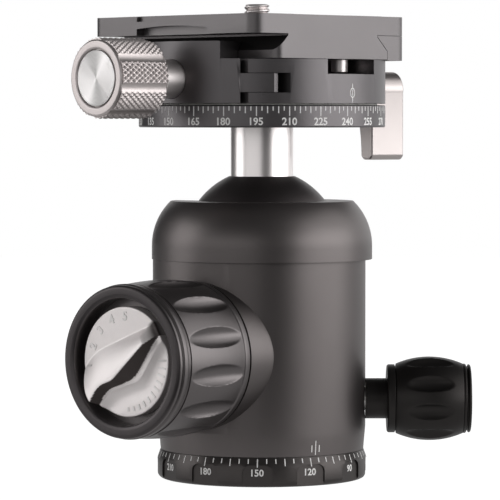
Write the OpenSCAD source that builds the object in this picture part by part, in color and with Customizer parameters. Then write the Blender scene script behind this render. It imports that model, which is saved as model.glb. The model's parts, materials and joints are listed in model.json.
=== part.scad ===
// Tripod ball head with a panning base, a ball on a neck and a screw-knob clamp for a
// dovetail camera plate.
// Millimetres. +Z is up, the front is -Y, and the origin is the centre of the base's underside,
// at the mouth of its tripod thread.

/* [Ball] */
// Radius of the ball
ball_r = 20; // [19:0.1:21]
// Radius of the flat that the neck stands on
ball_flat_r = 8.3; // [8.1:0.1:8.8]
// Radius of the neck
neck_r = 7.85; // [7:0.05:8]
// Height of the neck between the ball and the disc
neck_h = 12.3; // [11:0.1:16]
// Radius of the neck's threaded stud in the ball
stud_r = 5; // [4:0.1:6]
// Length of the neck's threaded stud in the ball
stud_h = 13; // [8:0.5:16]
// Radius of the spigot that centres the disc on the neck
spigot_top_r = 6; // [5.5:0.1:6.8]
// Height of the spigot that centres the disc on the neck
spigot_top_h = 2.4; // [1:0.1:3]

/* [Clearances] */
// Radial clearance of a shaft that turns or slides
run_gap = 0.05; // [0.02:0.01:0.1]
// Clearance between faces that rest or turn on each other
face_gap = 0.05; // [0.02:0.01:0.1]
// Radial clearance of a piece that is pressed, screwed or glued in place
fit_gap = 0.02; // [0.01:0.01:0.05]
// Gap between the ball and the collar
ball_gap = 0.15; // [0.1:0.01:0.3]

/* [Pan base] */
// Outer radius of the base ring
base_r = 26.4; // [26:0.1:30]
// Height of the base ring
base_h = 7.3; // [6.5:0.1:9]
// Radius of the base ring at its upper edge
base_top_r = 25.6; // [24.5:0.1:26]
// Height of the slope below the base ring's upper edge
base_slope_h = 2.2; // [1:0.1:2.6]
// Radius of the round lower edge of the base ring
base_edge_r = 1.6; // [0.5:0.1:2]
// Number of grip recesses round the base ring
recess_count = 12; // [8:1:15]
// Width of a grip recess
recess_w = 7.6; // [5:0.1:8]
// Corner radius of the grip recesses
recess_corner = 2; // [1:0.1:2.4]
// Depth of a grip recess
recess_depth = 0.65; // [0.3:0.05:1]
// Height of the top of a grip recess's arch
recess_top = 5.5; // [4:0.1:5.5]
// Turn of the middle grip recess, from the front towards the left
recess_turn = 2.7; // [0:0.1:15]
// Radius of the pan spindle
pan_spindle_r = 15; // [14:0.1:16]
// Wall radius of the tripod thread, 3/8 inch
thread_r = 4; // [3:0.05:4.7]
// Radius of the steel insert that holds the thread
insert_r = 7.5; // [6:0.1:9]
// Height of the thread insert
insert_h = 12; // [8:0.5:15]
// Depth of the insert's face above the base's underside
insert_inset = 0.2; // [0.1:0.1:1]
// Width of the chamfer at the thread's mouth
thread_chamfer = 0.5; // [0.3:0.1:1]
// Depth of the free space past the insert
relief_h = 3; // [1:0.5:5]
// Radius of the free space past the insert
relief_r = 5; // [4.8:0.1:6]

/* [Retaining plate] */
// Radius of the plate that holds the body on the base
retainer_r = 18.2; // [17.5:0.1:18.5]
// Thickness of that plate
retainer_h = 1.8; // [1.4:0.1:2]
// Radius of the circle of its screws
retainer_screw_at = 11; // [10.5:0.1:11.5]
// Number of its screws
retainer_screws = 3; // [3:1:5]
// Shank radius of the retaining plate's screws
retainer_shank_r = 1.5; // [1:0.1:1.8]
// Head radius of the retaining plate's screws
retainer_head_r = 2.9; // [2.4:0.1:3.2]
// Length of the retaining plate's screws below the plate
retainer_screw_l = 7; // [4:0.5:9]

/* [Body] */
// Wall round the ball's cavity
body_wall = 5.7; // [5.2:0.1:6.5]
// Radial clearance between the ball and the cavity
cavity_gap = 0.4; // [0.2:0.05:0.6]
// Radius of the body at its lower edge
skirt_r = 25.6; // [25:0.1:26]
// Height of the body's tapered skirt
skirt_h = 5.6; // [3:0.1:6]
// Gap between the base ring and the body
pan_gap = 0.1; // [0.05:0.01:0.2]
// Thickness of the body's floor
floor_h = 17.6; // [17.4:0.1:18.5]
// Direction of the wider side of the body
lobe_angle = 197; // [185:1:205]
// Reach of the wider side past the round body
lobe_reach = 1.55; // [1:0.05:1.6]
// Sideways shift of the wider side's round
lobe_shift = 3.4; // [2.5:0.1:4]
// Inner radius of the pan washer
washer_in_r = 17; // [16.5:0.1:18]
// Outer radius of the pan washer
washer_out_r = 22; // [20:0.1:23]
// Thickness of the pan washer
washer_h = 0.6; // [0.4:0.05:1]

/* [Collar] */
// Step from the body out to the collar
collar_step = 1.66; // [1.62:0.01:3]
// How far the collar's lower edge lies below the ball's centre
collar_drop = 2.6; // [2:0.1:3]
// Height of the collar's straight side
collar_side_h = 3.4; // [3:0.1:5]
// Height of the collar's top above the ball's centre
collar_rise = 12; // [11.8:0.1:12.5]
// Radius of the outer edge of the collar's flat top
collar_top_r = 23; // [21:0.1:24]
// Wall of the threaded spigot under the collar
spigot_wall = 2.9; // [2:0.1:3.2]
// Height of the threaded spigot under the collar
spigot_h = 3.2; // [2.5:0.1:3.6]
// Lower edge of the upper seat above the ball's centre
upper_seat_low = 2.2; // [1.5:0.1:3]
// Upper edge of the upper seat above the ball's centre
upper_seat_high = 6.2; // [5:0.1:7]
// Outer radius of the upper seat past the ball
upper_seat_wall = 1.9; // [1.4:0.1:2.5]
// Radius of the collar's grub screws
grub_r = 1.25; // [1:0.05:1.3]
// Length of the collar's grub screws
grub_l = 3; // [2:0.1:3.2]
// Turns of the grub screws from the front towards the left
grub_turns = [-120, -175];
// Direction of the slot that lets the neck drop to the side
drop_angle = 141; // [130:1:150]
// Half the width of the drop slot
drop_r = 8.3; // [8.1:0.05:8.6]

/* [Lower seat] */
// Height of the lower seat above its underside
seat_h = 10.6; // [9:0.1:11]
// Radius of the hole in the lower seat
seat_hole_r = 8; // [6:0.1:12]
// How far the ball's lowest point lies above the seat's underside
seat_drop = 0.35; // [0.2:0.05:1]
// Bore of the lift ring
lift_bore_r = 9; // [8:0.1:9.5]
// Roof of the lift ring above its plunger pocket
lift_roof = 1.3; // [1:0.1:2]

/* [Main knob] */
// Turn of the main knob from the front towards the left
main_turn = 39; // [30:1:45]
// Height of the main knob's axis
main_z = 32; // [31.9:0.1:33]
// Radius of the round boss behind the main knob
boss_r = 18.5; // [17.5:0.1:18.5]
// How far the boss reaches past the round body
boss_stand = 0.9; // [0.7:0.1:1.9]
// Radius of the main spindle and plunger
main_spindle_r = 4; // [3.5:0.1:4]
// Radius of the main bushing
main_bushing_r = 7.5; // [6:0.1:9]
// Distance of the plunger's tip from the body's axis
plunger_tip = 10; // [9.8:0.1:11]
// Length of the plunger's tapered nose
plunger_nose = 6; // [4:0.1:7]
// Radius of the plunger's tip
plunger_tip_r = 1.5; // [1:0.1:2]
// Length of the main knob
main_l = 26.85; // [26:0.05:30]
// Largest radius of the main knob
main_r = 19.25; // [19:0.05:21]
// Radius of the main knob's ends
main_end_r = 18.4; // [18:0.05:18.6]
// Drop of the grip's crown from its middle to its ends
main_crown = 0.6; // [0.3:0.05:0.8]
// Length of the ring behind the main knob's grip
main_rear_l = 2.2; // [1.5:0.1:3]
// Length of the rings in front of the main knob's grip
main_front_l = 2.9; // [2.5:0.1:3.5]
// Number of flutes on the main knob
main_flutes = 13; // [9:1:16]
// Turn of the first flute on the main knob
main_flute_turn = -9.4; // [-14:0.1:14]
// Depth of the flutes on the main knob
main_flute_depth = 1.4; // [0.8:0.1:1.6]
// Radius of the main knob's flutes
main_flute_r = 3.4; // [2.6:0.1:4]
// Rise of the main knob's flutes towards their ends
main_flute_sag = 1; // [0.6:0.1:1.2]
// Smooth band left at each end of the main knob's flutes
main_flute_margin = 0.4; // [0.2:0.05:1]
// Width of the bead in front of the main knob's grip
bead_w = 0.7; // [0.4:0.05:0.8]
// Width of the groove rings on both knobs
ring_groove = 0.5; // [0.3:0.05:0.6]
// Step from the dial's recess in to the well behind it
dial_step = 1.5; // [1:0.1:2]
// Radius of the recess that holds the dial
dial_recess_r = 15.3; // [14.5:0.1:16]
// Depth of the recess that holds the dial
dial_recess_h = 9; // [8.8:0.1:10]
// Depth of the ledge that carries the dial ring
dial_ledge_h = 6; // [5.8:0.1:6.5]
// Radius of the hollow behind the web
main_hollow_r = 14; // [12:0.1:15]
// Thickness of the web on the spindle
main_web = 5; // [4:0.1:6]

/* [Friction dial] */
// Radius of the friction dial
dial_r = 13.3; // [12:0.1:14]
// Depth of the dial's face below the rim
dial_depth = 1.7; // [1:0.1:3]
// Thickness of the dial's plate
dial_h = 2.8; // [2:0.1:2.9]
// Height of the finger ridge on the dial
ridge_h = 3.4; // [2:0.1:4]
// Thickness of the finger ridge
ridge_w = 4.4; // [3:0.1:6]
// Half the length of the finger ridge
ridge_half = 12.4; // [10:0.1:12.8]
// Tilt of the finger ridge from level
ridge_tilt = 43; // [0:1:90]
// Sideways swing of the ridge's wave
ridge_wave = 1.5; // [0:0.1:2]
// Thickness of the finger ridge at its ends
ridge_end_w = 2; // [1:0.1:3]
// Thickness of the ring round the dial
dial_ring_h = 1.2; // [0.8:0.1:1.3]
// Inner radius of the ring round the dial
dial_ring_in_r = 12.4; // [12.2:0.1:13]
// Radius of the friction screw
friction_screw_r = 2; // [1.5:0.1:2.2]
// Length of the friction screw
friction_screw_l = 14; // [10:0.5:18]
// Thickness of the main knob's nut
nut_h = 2.3; // [1.5:0.1:2.4]
// Distance across the corners of the nut, halved
nut_r = 7; // [6:0.1:8]

/* [Pan knob] */
// Height of the pan knob's axis
pan_z = 19.8; // [19.6:0.1:20.2]
// Radius of the pan knob's neck
pan_neck_r = 5.1; // [4.5:0.1:6]
// Distance of the pan knob from the round body
pan_stand = 5.4; // [4.9:0.1:7.9]
// Radius of the pan knob's end rings
pan_end_r = 8.6; // [8:0.1:8.7]
// Largest radius of the pan knob
pan_r = 10.55; // [10.3:0.05:11]
// Drop of the pan knob's crown from its middle to its ends
pan_crown = 1.8; // [1.6:0.05:1.9]
// Length of the pan knob's rear ring
pan_rear_l = 2.3; // [1.5:0.1:3]
// Length of the pan knob's grip
pan_grip_l = 16.8; // [15:0.1:18]
// Length of the pan knob's front rim
pan_front_l = 2; // [1.5:0.1:3]
// Number of flutes on the pan knob
pan_flutes = 9; // [7:1:11]
// Turn of the first flute on the pan knob
pan_flute_turn = 5; // [-20:1:20]
// Depth of the flutes on the pan knob
pan_flute_depth = 1.35; // [0.8:0.05:1.6]
// Radius of the pan knob's flutes
pan_flute_r = 2.6; // [2:0.1:3.2]
// Rise of the pan knob's flutes towards their ends
pan_flute_sag = 0.05; // [0.02:0.01:0.2]
// Radius of the pan screw
pan_screw_r = 3; // [2.5:0.1:3.2]
// Length of the pan screw inside the grip
pan_screw_in = 15; // [10:0.5:16]
// Radius of the pan bushing
pan_bushing_r = 4.8; // [4.2:0.1:4.8]
// Radius of the brake shoe
shoe_r = 3.8; // [3:0.1:4]
// Length of the brake shoe
shoe_l = 3.5; // [2.5:0.1:4]
// Room for the brake shoe to draw back
shoe_travel = 1; // [1:0.1:1.5]
// Radius of the pan knob's end cap
cap_r = 6.8; // [5:0.1:7.2]
// Thickness of the pan knob's end cap
cap_h = 0.9; // [0.6:0.1:1.2]

/* [Scale disc] */
// Radius of the scale disc and of the clamp's base
disc_r = 31; // [30.5:0.1:33]
// Thickness of the scale disc
disc_h = 5.5; // [5:0.1:7]
// Width of the bevel on the disc's edges
disc_bevel = 0.25; // [0.1:0.05:0.5]
// Radius of the hub that the clamp turns on
hub_r = 9; // [8.5:0.1:9.5]
// Thickness of the ring that holds the clamp down
clamp_ring_h = 1.6; // [1.2:0.1:2]
// Radius of the ring that holds the clamp down
clamp_ring_r = 11.8; // [11.4:0.1:12]
// Shank radius of the hub bolt
hub_bolt_r = 3; // [2.5:0.1:3.5]
// Head radius of the hub bolt
hub_head_r = 5; // [4.2:0.1:5]
// Head height of the hub bolt
hub_head_h = 3.6; // [3:0.1:4]
// Length of the hub bolt below its head
hub_bolt_l = 17; // [12:0.5:18]
// Distance across the corners of the hub bolt's socket, halved
hub_socket_r = 3; // [2:0.1:3.4]
// Depth of the hub bolt's socket
hub_socket_depth = 1.8; // [1:0.1:2.4]
// Radius of the small screws in the clamp ring
ring_screw_r = 0.8; // [0.6:0.05:0.9]
// Head radius of the small screws in the clamp ring
ring_head_r = 1.4; // [1.1:0.05:1.5]
// Length of the small screws in the clamp ring
ring_screw_l = 4; // [3:0.1:5]
// Number of small screws in the clamp ring
ring_screws = 4; // [2:1:8]
// Gap between the scale disc and the clamp's base
disc_gap = 0.4; // [0.3:0.05:0.6]
// Inner radius of the washer in that gap
gap_washer_in = 13; // [12:0.1:15]
// How far the washer in that gap stays inside the disc's edge
gap_washer_margin = 2; // [1:0.1:6]

/* [Clamp] */
// Turn of the clamp knob from the front towards the left
clamp_turn = 46.4; // [44:0.1:49]
// Height of the clamp's base
clamp_h = 10.8; // [10.7:0.1:11.5]
// Depth of the part cut off the clamp's base for the movable jaw
jaw_cut_depth = 7.3; // [7:0.1:8]
// Gap between the base and the movable jaw
jaw_split = 1.25; // [0.8:0.05:1.5]
// Height of the movable jaw above the clamp's floor
jaw_rise = 4.4; // [3.5:0.1:4.8]
// Half the length of the movable jaw's lip at its outer edge
lip_half = 15.4; // [13:0.1:18]
// Half the length of the lip at its inner edge
lip_inner_half = 10.2; // [9:0.1:12]
// Reach of the jaw's guide tongues into the base
tongue_l = 5.7; // [4.7:0.1:6.7]
// Room past the tongues in their slots
tongue_room = 2.1; // [1.5:0.1:3]
// Width of the tongues where they leave the jaw
tongue_root = 1.4; // [1:0.1:2]
// Width of the flats at the tongues' ends
tongue_flat = 1.2; // [0.5:0.1:2]
// Lower edge of the tongues above the base's underside
tongue_low = 2.7; // [2:0.1:3.2]
// Height of the tongues
tongue_h = 4.6; // [4:0.1:5]
// Side clearance of the tongues in their slots
tongue_gap = 0.1; // [0.05:0.01:0.2]
// Depth of the pockets for the stop screws
pocket_depth = 3.6; // [3.5:0.1:4]
// Inner end of the pockets
pocket_from = 17.5; // [16.5:0.1:18]
// Near side of a pocket, seen along the dovetail
pocket_near = 6.8; // [6:0.1:8]
// Far side of a pocket, seen along the dovetail
pocket_far = 10.3; // [9.5:0.1:11]
// Radius of the guide pins
pin_r = 1.2; // [0.8:0.05:1.4]
// Distance of the guide pins from the middle
pin_at = 7.6; // [7.5:0.1:9]
// Height of the guide pins above the base's underside
pin_rise = 5; // [4:0.1:6]
// Length of the guide pins in the base
pin_in_base = 6; // [4:0.1:7]
// Length of the guide pins in the jaw
pin_in_jaw = 4.2; // [3:0.1:4.4]

/* [Clamp knob] */
// Height of the clamp screw's axis above the base's underside
clamp_screw_rise = 6; // [5.9:0.1:6.1]
// Radius of the clamp screw
clamp_screw_r = 2.5; // [2:0.1:2.5]
// Gap between the clamp screw's inner end and the hub
clamp_screw_gap = 0.6; // [0.3:0.1:2]
// Radius of the sleeve behind the clamp knob
sleeve_r = 4.8; // [4.4:0.1:4.9]
// Depth of the sleeve's seat in the jaw
sleeve_seat = 1.9; // [1:0.1:2.5]
// Gap between the clamp's edge and its knob
clamp_knob_gap = 8.9; // [7:0.1:11]
// Length of the clamp knob
clamp_knob_l = 15.5; // [13:0.1:18]
// Radius of the clamp knob
clamp_knob_r = 9.8; // [9:0.1:10]
// Width of the clamp knob's chamfers
clamp_knob_bevel = 0.9; // [0.5:0.1:1.5]
// Radius of the disc set in the clamp knob's face
inlay_r = 6.8; // [5:0.1:7.5]
// Thickness of the disc set in the clamp knob's face
inlay_h = 0.8; // [0.5:0.1:1.2]
// How far the inlay lies below the knob's face
inlay_inset = 0.1; // [0.05:0.05:0.3]
// Length of the clamp screw inside the knob
clamp_screw_in = 11.5; // [8:0.5:12]
// Depth of the spring's pocket in the base
spring_pocket = 3.4; // [2.5:0.1:4]
// Mean radius of the jaw spring
spring_r = 3.5; // [3.3:0.05:3.6]
// Wire radius of the jaw spring
spring_wire_r = 0.35; // [0.2:0.05:0.4]
// Number of turns of the jaw spring
spring_turns = 3.5; // [2.5:0.5:4]

/* [Camera plate] */
// Length of the camera plate
plate_l = 60.2; // [58:0.1:66]
// Width of the camera plate
plate_w = 53; // [52:0.1:54]
// Thickness of the plate's slab
slab_h = 4.7; // [4.4:0.1:6]
// Where the plate's middle lies along the dovetail
plate_shift = -4.7; // [-5:0.1:-4.4]
// Corner radius of the slab
slab_corner = 3.6; // [2:0.1:5]
// Corner radius of the plate's foot on the knob's side
foot_corner = 2.3; // [1:0.1:3]
// Half the width of the plate's dovetail foot
foot_half = 19; // [18.8:0.1:19.2]
// Height of the foot's straight side
foot_h = 2; // [1.6:0.1:2.2]
// Height of the dovetail's 45 degree slope
dovetail_h = 3.5; // [3.4:0.1:3.8]
// Height of the straight waist above the slope
waist_h = 0.5; // [0.4:0.1:1]
// Gap between the plate and the clamp's floor
plate_gap = 0.2; // [0.1:0.05:0.4]
// Gap between the dovetail and the jaws
dovetail_gap = 0.1; // [0.05:0.01:0.2]
// Half the width of the channel under the plate
channel_half = 9; // [8:0.1:10]
// Half the length of the channel under the plate
channel_l_half = 21; // [18:0.1:22]
// Height of the channel under the plate
channel_h = 4.9; // [4.4:0.1:5]
// Half the length of the camera screw's slot
slot_half = 14; // [10:0.1:16]
// Depth of the wider slot for the screw's clip
clip_slot_h = 2.4; // [1.5:0.1:2.6]
// Half the width of the wider slot
clip_slot_half = 5.8; // [5.6:0.1:6]
// Half the length of the relief in the plate's side
relief_half = 12.9; // [10:0.1:15]
// Depth of the relief under the plate's side
relief_depth = 2.4; // [1:0.1:3]
// Height of that relief at its middle
relief_rise = 2.2; // [1.5:0.1:2.8]
// How much lower it is at its ends
relief_drop = 0.6; // [0.2:0.1:1]
// Height of the rebate along the plate's upper edge
rebate_h = 1.3; // [0.5:0.1:1.5]
// Depth of that rebate
rebate_depth = 1; // [0.5:0.1:1.8]
// Thickness of the rubber strips
pad_h = 1.1; // [0.6:0.1:1.4]
// How far the rubber strips stand above the slab
pad_proud = 0.2; // [0.1:0.05:0.4]
// Inner edge of the rubber strips from the middle
pad_from = 8.4; // [7:0.1:10]
// Outer edge of the rubber strips from the middle
pad_to = 22.5; // [20:0.1:24]
// Margin of the rubber strips at the plate's ends
pad_margin = 4; // [3:0.1:8]
// Gap round the rubber strips
pad_gap = 0.1; // [0.05:0.01:0.2]
// Corner radius of the rubber strips
pad_corner = 2; // [1:0.1:3]
// Distance of the stop screws from the plate's middle
stop_at = 25.7; // [25.2:0.1:26]
// Sideways distance of the stop screws
stop_side = 6.5; // [5:0.1:7]
// Head radius of the stop screws
stop_head_r = 2.1; // [1.8:0.1:2.2]
// Head height of the stop screws
stop_head_h = 3.3; // [2.5:0.1:3.4]
// Shank radius of the stop screws
stop_shank_r = 1; // [0.8:0.1:1.2]
// Shank length of the stop screws
stop_shank_l = 4; // [3:0.1:6]

/* [Fixed jaw] */
// Half the length of the fixed jaw
fixed_half = 25.4; // [24:0.1:26]
// Gap between the fixed jaw and the slab
fixed_gap = 0.1; // [0.1:0.05:0.5]
// Chamfer along the fixed jaw's outer upper edge
fixed_edge = 0.8; // [0.4:0.1:1.2]
// Distance of the fixed jaw's screws from the middle
fixed_screw_at = 14; // [12:0.1:16]
// Sideways distance of the fixed jaw's screws
fixed_screw_side = 21.8; // [21:0.1:22.5]
// Shank radius of the fixed jaw's screws
fixed_screw_r = 1.25; // [1:0.05:1.5]
// Head radius of the fixed jaw's screws
fixed_head_r = 2.5; // [2:0.1:2.8]
// Head height of the fixed jaw's screws
fixed_head_h = 2.5; // [2:0.1:3]
// Thread length of the fixed jaw's screws in the jaw
fixed_screw_in = 3.6; // [2:0.1:4]

/* [Camera screw] */
// Radius of the camera screw's thread, 1/4 inch
camera_r = 3.175; // [3.1:0.025:3.2]
// Height of the camera screw above the slab
camera_rise = 3.3; // [3:0.1:5]
// Radius of the camera screw's neck below its thread
camera_neck_r = 2.6; // [2.2:0.1:2.9]
// Place of the camera screw along the dovetail
camera_at = -1.8; // [-3:0.1:0]
// Head radius of the camera screw
camera_head_r = 7.6; // [6.5:0.1:7.8]
// Head height of the camera screw
camera_head_h = 3.6; // [3:0.1:4]
// Gap round the camera screw in its slot
camera_gap = 0.2; // [0.1:0.05:0.4]
// Width of the coin slot in the head
coin_w = 1.6; // [1:0.1:2]
// Depth of the coin slot in the head
coin_depth = 1.4; // [1:0.1:2]
// Thickness of the camera screw's clip
clip_h = 0.8; // [0.5:0.1:1]
// Radius of the camera screw's clip
clip_r = 5.4; // [4.5:0.1:5.5]

/* [Pan lever] */
// Turn of the lever's axis from the front towards the left
lever_turn = -125; // [-128:1:-120]
// Height of the lever's axis above the clamp's underside
lever_rise = 3.7; // [3.6:0.1:3.9]
// Radius of the lever's head
lever_head_r = 4.6; // [4.2:0.1:5]
// Length of the lever below its axis
lever_l = 18; // [15:0.1:20]
// Size of the chamfers at the lever's lower end
lever_corner = 0.9; // [0.3:0.1:1.5]
// Width of the lever at its lower end
lever_tip_w = 4.7; // [4:0.1:6]
// Step from the lever's round head in to its flat side
lever_step = 0.1; // [0.05:0.05:0.5]
// Thickness of the lever away from the disc
lever_t = 10.4; // [8:0.1:12]
// Gap between the lever and the clamp's base
lever_gap = 0.2; // [0.1:0.05:0.5]
// Radius of the lever's screw and brake pad
lever_screw_r = 3; // [2.6:0.1:3.1]
// Length of the lever's brake pad
lever_pad_l = 4.8; // [4:0.1:6]
// Length of the lever's screw inside the lever
lever_screw_in = 5; // [4:0.1:6]
// Radius of the cap screw that holds the lever
lever_cap_r = 1.5; // [1.2:0.1:1.6]
// Head radius of the cap screw
lever_cap_head_r = 2.7; // [2.2:0.1:3]
// Length of the cap screw inside the lever's screw
lever_cap_in = 2.5; // [1.5:0.1:4]

/* [Hidden] */
$fn = 96;
over = 1;

// Radii of the body
cavity_r = ball_r + cavity_gap;
body_r = cavity_r + body_wall;
collar_r = body_r + collar_step;
collar_spigot_r = cavity_r + spigot_wall;
lobe_r = body_r + lobe_reach - lobe_shift;
boss_reach = body_r + boss_stand;

// Heights, from the base upwards
body_bottom = base_h + pan_gap;
floor_top = body_bottom + floor_h;
pan_spindle_top = floor_top + face_gap;
retainer_top = pan_spindle_top + retainer_h;
lobe_bottom = body_bottom + skirt_h;
lift_bottom = retainer_top + face_gap;
lift_top = main_z + main_spindle_r + lift_roof;
seat_bottom = lift_top + face_gap;
ball_z = seat_bottom + seat_drop + ball_r;
body_top = ball_z - collar_drop;
collar_top = ball_z + collar_rise;
collar_shoulder = body_top + collar_side_h;
neck_bottom = ball_z + sqrt(ball_r * ball_r - ball_flat_r * ball_flat_r);
disc_bottom = neck_bottom + neck_h;
disc_top = disc_bottom + disc_h;
clamp_bottom = disc_top + disc_gap;
clamp_floor = clamp_bottom + clamp_h;
ring_seat = clamp_floor - clamp_ring_h - 2 * run_gap - plate_gap - face_gap;
hub_top = ring_seat + face_gap;
plate_bottom = clamp_floor + plate_gap;
waist_bottom = plate_bottom + foot_h + dovetail_h;
slab_bottom = waist_bottom + waist_h;
slab_top = slab_bottom + slab_h;

// Radius of the arc over a half chord for a given rise
function arc_radius(half, rise) = (half * half + rise * rise) / (2 * rise);

// Puts the children's +Z along a level axis, turned from the front towards the left
module level_axis(turn, height) {
    rotate([0, 0, -turn]) translate([0, 0, height]) rotate([90, 0, 0]) children();
}

// The clamp's own frame: X along the dovetail, -Y towards the clamp knob
module clamp_frame() {
    rotate([0, 0, -clamp_turn]) children();
}

module lift(height) {
    translate([0, 0, height]) children();
}

module tube(outer, inner, height) {
    difference() {
        cylinder(r = outer, h = height);
        lift(-over) cylinder(r = inner, h = height + 2 * over);
    }
}

// A flat-headed screw, its head's face at the origin, its shank down -Z
module countersunk(head, shank, length) {
    lift(-(head - shank)) cylinder(r1 = shank, r2 = head, h = head - shank);
    lift(-length) cylinder(r = shank, h = length);
}

module rounded_rectangle(length, width, corner) {
    square([length, width - 2 * corner], center = true);
    square([length - 2 * corner, width], center = true);
    for (x = [-1, 1], y = [-1, 1])
        translate([x * (length / 2 - corner), y * (width / 2 - corner)]) circle(r = corner);
}

// Places the children at equal turns round Z
module around(count, first = 0) {
    for (i = [0 : count - 1])
        rotate([0, 0, first + i * 360 / count]) children();
}

// Outline of a crowned barrel from the axis out, its middle at height 0
module crowned_outline(radius, drop, half) {
    arc = arc_radius(half, drop);
    intersection() {
        translate([radius - arc, 0]) circle(r = arc);
        translate([0, -half]) square([radius, 2 * half]);
    }
}

// ---- Pan base ----

module recess_cutters() {
    around(recess_count, -90 - recess_turn) translate([base_r - recess_depth, 0, 0])
        rotate([90, 0, 90]) linear_extrude(height = 2 * recess_depth + over)
            rounded_rectangle(recess_w, 2 * recess_top, recess_corner);
}

module base_ring() {
    color("dimgray") difference() {
        union() {
            rotate_extrude() {
                square([base_r - base_edge_r, base_edge_r]);
                intersection() {
                    translate([base_r - base_edge_r, base_edge_r]) circle(r = base_edge_r);
                    square([base_r, base_edge_r]);
                }
                polygon([
                    [0, base_edge_r], [base_r, base_edge_r], [base_r, base_h - base_slope_h],
                    [base_top_r, base_h], [0, base_h]
                ]);
            }
            cylinder(r = pan_spindle_r, h = pan_spindle_top);
        }
        lift(-over) cylinder(r = insert_r + fit_gap, h = over + insert_inset + insert_h);
        cylinder(r = relief_r, h = insert_inset + insert_h + relief_h);
        lift(pan_spindle_top - retainer_screw_l) around(retainer_screws)
            translate([retainer_screw_at, 0])
                cylinder(r = retainer_shank_r + fit_gap, h = retainer_screw_l + over);
        recess_cutters();
    }
}

module thread_insert() {
    color("silver") lift(insert_inset) difference() {
        tube(insert_r, thread_r, insert_h);
        lift(-fit_gap) cylinder(r1 = thread_r + thread_chamfer, r2 = thread_r, h = thread_chamfer);
    }
}

module retaining_screw_set(gap) {
    lift(retainer_top) around(retainer_screws) translate([retainer_screw_at, 0])
        countersunk(retainer_head_r + gap, retainer_shank_r + gap,
            retainer_h + retainer_screw_l - face_gap);
}

module retaining_plate() {
    color("gray") difference() {
        lift(pan_spindle_top) cylinder(r = retainer_r, h = retainer_h);
        retaining_screw_set(fit_gap);
    }
}

module retaining_screws() {
    color("silver") retaining_screw_set(0);
}

// ---- Body ----

module drop_slot() {
    reach = collar_r + over - ball_r / 2;
    rotate([0, 0, drop_angle]) translate([ball_r / 2, 0, ball_z]) {
        rotate([0, 90, 0]) cylinder(r = drop_r, h = reach);
        translate([0, -drop_r, 0]) cube([reach, 2 * drop_r, collar_rise + over]);
    }
}

module housing() {
    color("dimgray") difference() {
        union() {
            lift(body_bottom) cylinder(r1 = skirt_r, r2 = body_r, h = skirt_h);
            lift(body_bottom + skirt_h) cylinder(r = body_r, h = body_top - body_bottom - skirt_h);
            rotate([0, 0, lobe_angle]) translate([lobe_shift, 0, lobe_bottom])
                cylinder(r = lobe_r, h = body_top - face_gap - lobe_bottom);
            lift(body_top) cylinder(r = collar_spigot_r, h = spigot_h);
            level_axis(main_turn, main_z) cylinder(r = boss_r, h = boss_reach);
        }
        lift(floor_top) cylinder(r = cavity_r, h = collar_top);
        lift(body_bottom - over) cylinder(r = pan_spindle_r + run_gap, h = floor_h + 2 * over);
        lift(body_bottom - over)
            tube(washer_out_r + run_gap, washer_in_r - run_gap, over + washer_h - pan_gap + face_gap);
        level_axis(main_turn, main_z) cylinder(r = main_bushing_r + fit_gap, h = boss_reach + over);
        level_axis(-90, pan_z) {
            cylinder(r = shoe_r + run_gap, h = body_r);
            lift(pan_bushing_from) cylinder(r = pan_bushing_r + fit_gap, h = body_r);
        }
        drop_slot();
    }
}

module pan_washer() {
    color("white") lift(base_h) tube(washer_out_r, washer_in_r, washer_h);
}

module retaining_collar() {
    rise = collar_top - collar_shoulder;
    step = collar_r - collar_top_r;
    shoulder_r = (step * step + rise * rise) / (2 * step);
    color("dimgray") difference() {
        rotate_extrude() difference() {
            union() {
                translate([0, body_top]) square([collar_r, collar_side_h]);
                translate([0, collar_shoulder]) square([collar_r - shoulder_r, rise]);
                intersection() {
                    translate([collar_r - shoulder_r, collar_shoulder]) circle(r = shoulder_r);
                    translate([0, collar_shoulder]) square([collar_r, rise]);
                }
            }
            translate([0, ball_z]) circle(r = ball_r + ball_gap);
            translate([0, body_top - over])
                square([collar_spigot_r + fit_gap, over + spigot_h + face_gap]);
            translate([0, ball_z + upper_seat_low - face_gap])
                square([ball_r + upper_seat_wall + fit_gap, upper_seat_high - upper_seat_low + 2 * face_gap]);
        }
        grub_set(fit_gap);
        drop_slot();
    }
}

module upper_seat() {
    color("ivory") difference() {
        rotate_extrude() difference() {
            translate([0, ball_z + upper_seat_low])
                square([ball_r + upper_seat_wall, upper_seat_high - upper_seat_low]);
            translate([0, ball_z]) circle(r = ball_r + run_gap);
        }
        drop_slot();
    }
}

module grub_set(gap) {
    for (turn = grub_turns)
        level_axis(turn, body_top + spigot_h / 2) lift(collar_spigot_r + 2 * fit_gap)
            cylinder(r = grub_r + gap, h = gap > 0 ? 2 * grub_l + over : grub_l);
}

module collar_grub_screws() {
    color("black") grub_set(0);
}

// ---- Seats and lock ----

module lift_ring() {
    color("goldenrod") difference() {
        lift(lift_bottom) tube(cavity_r - run_gap, lift_bore_r, lift_top - lift_bottom);
        level_axis(main_turn, main_z) plunger_shape(2 * run_gap);
    }
}

module lower_seat() {
    color("goldenrod") rotate_extrude() difference() {
        translate([seat_hole_r, seat_bottom]) square([cavity_r - run_gap - seat_hole_r, seat_h]);
        translate([0, ball_z]) circle(r = ball_r + run_gap);
    }
}

module plunger_shape(gap) {
    lift(plunger_tip - gap)
        cylinder(r1 = plunger_tip_r + gap, r2 = main_spindle_r + gap, h = plunger_nose);
    lift(plunger_tip - gap + plunger_nose) cylinder(r = main_spindle_r + gap,
        h = gap > 0 ? cavity_r : plunger_end - plunger_tip - plunger_nose);
}

module lock_plunger() {
    color("silver") level_axis(main_turn, main_z) plunger_shape(0);
}

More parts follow.
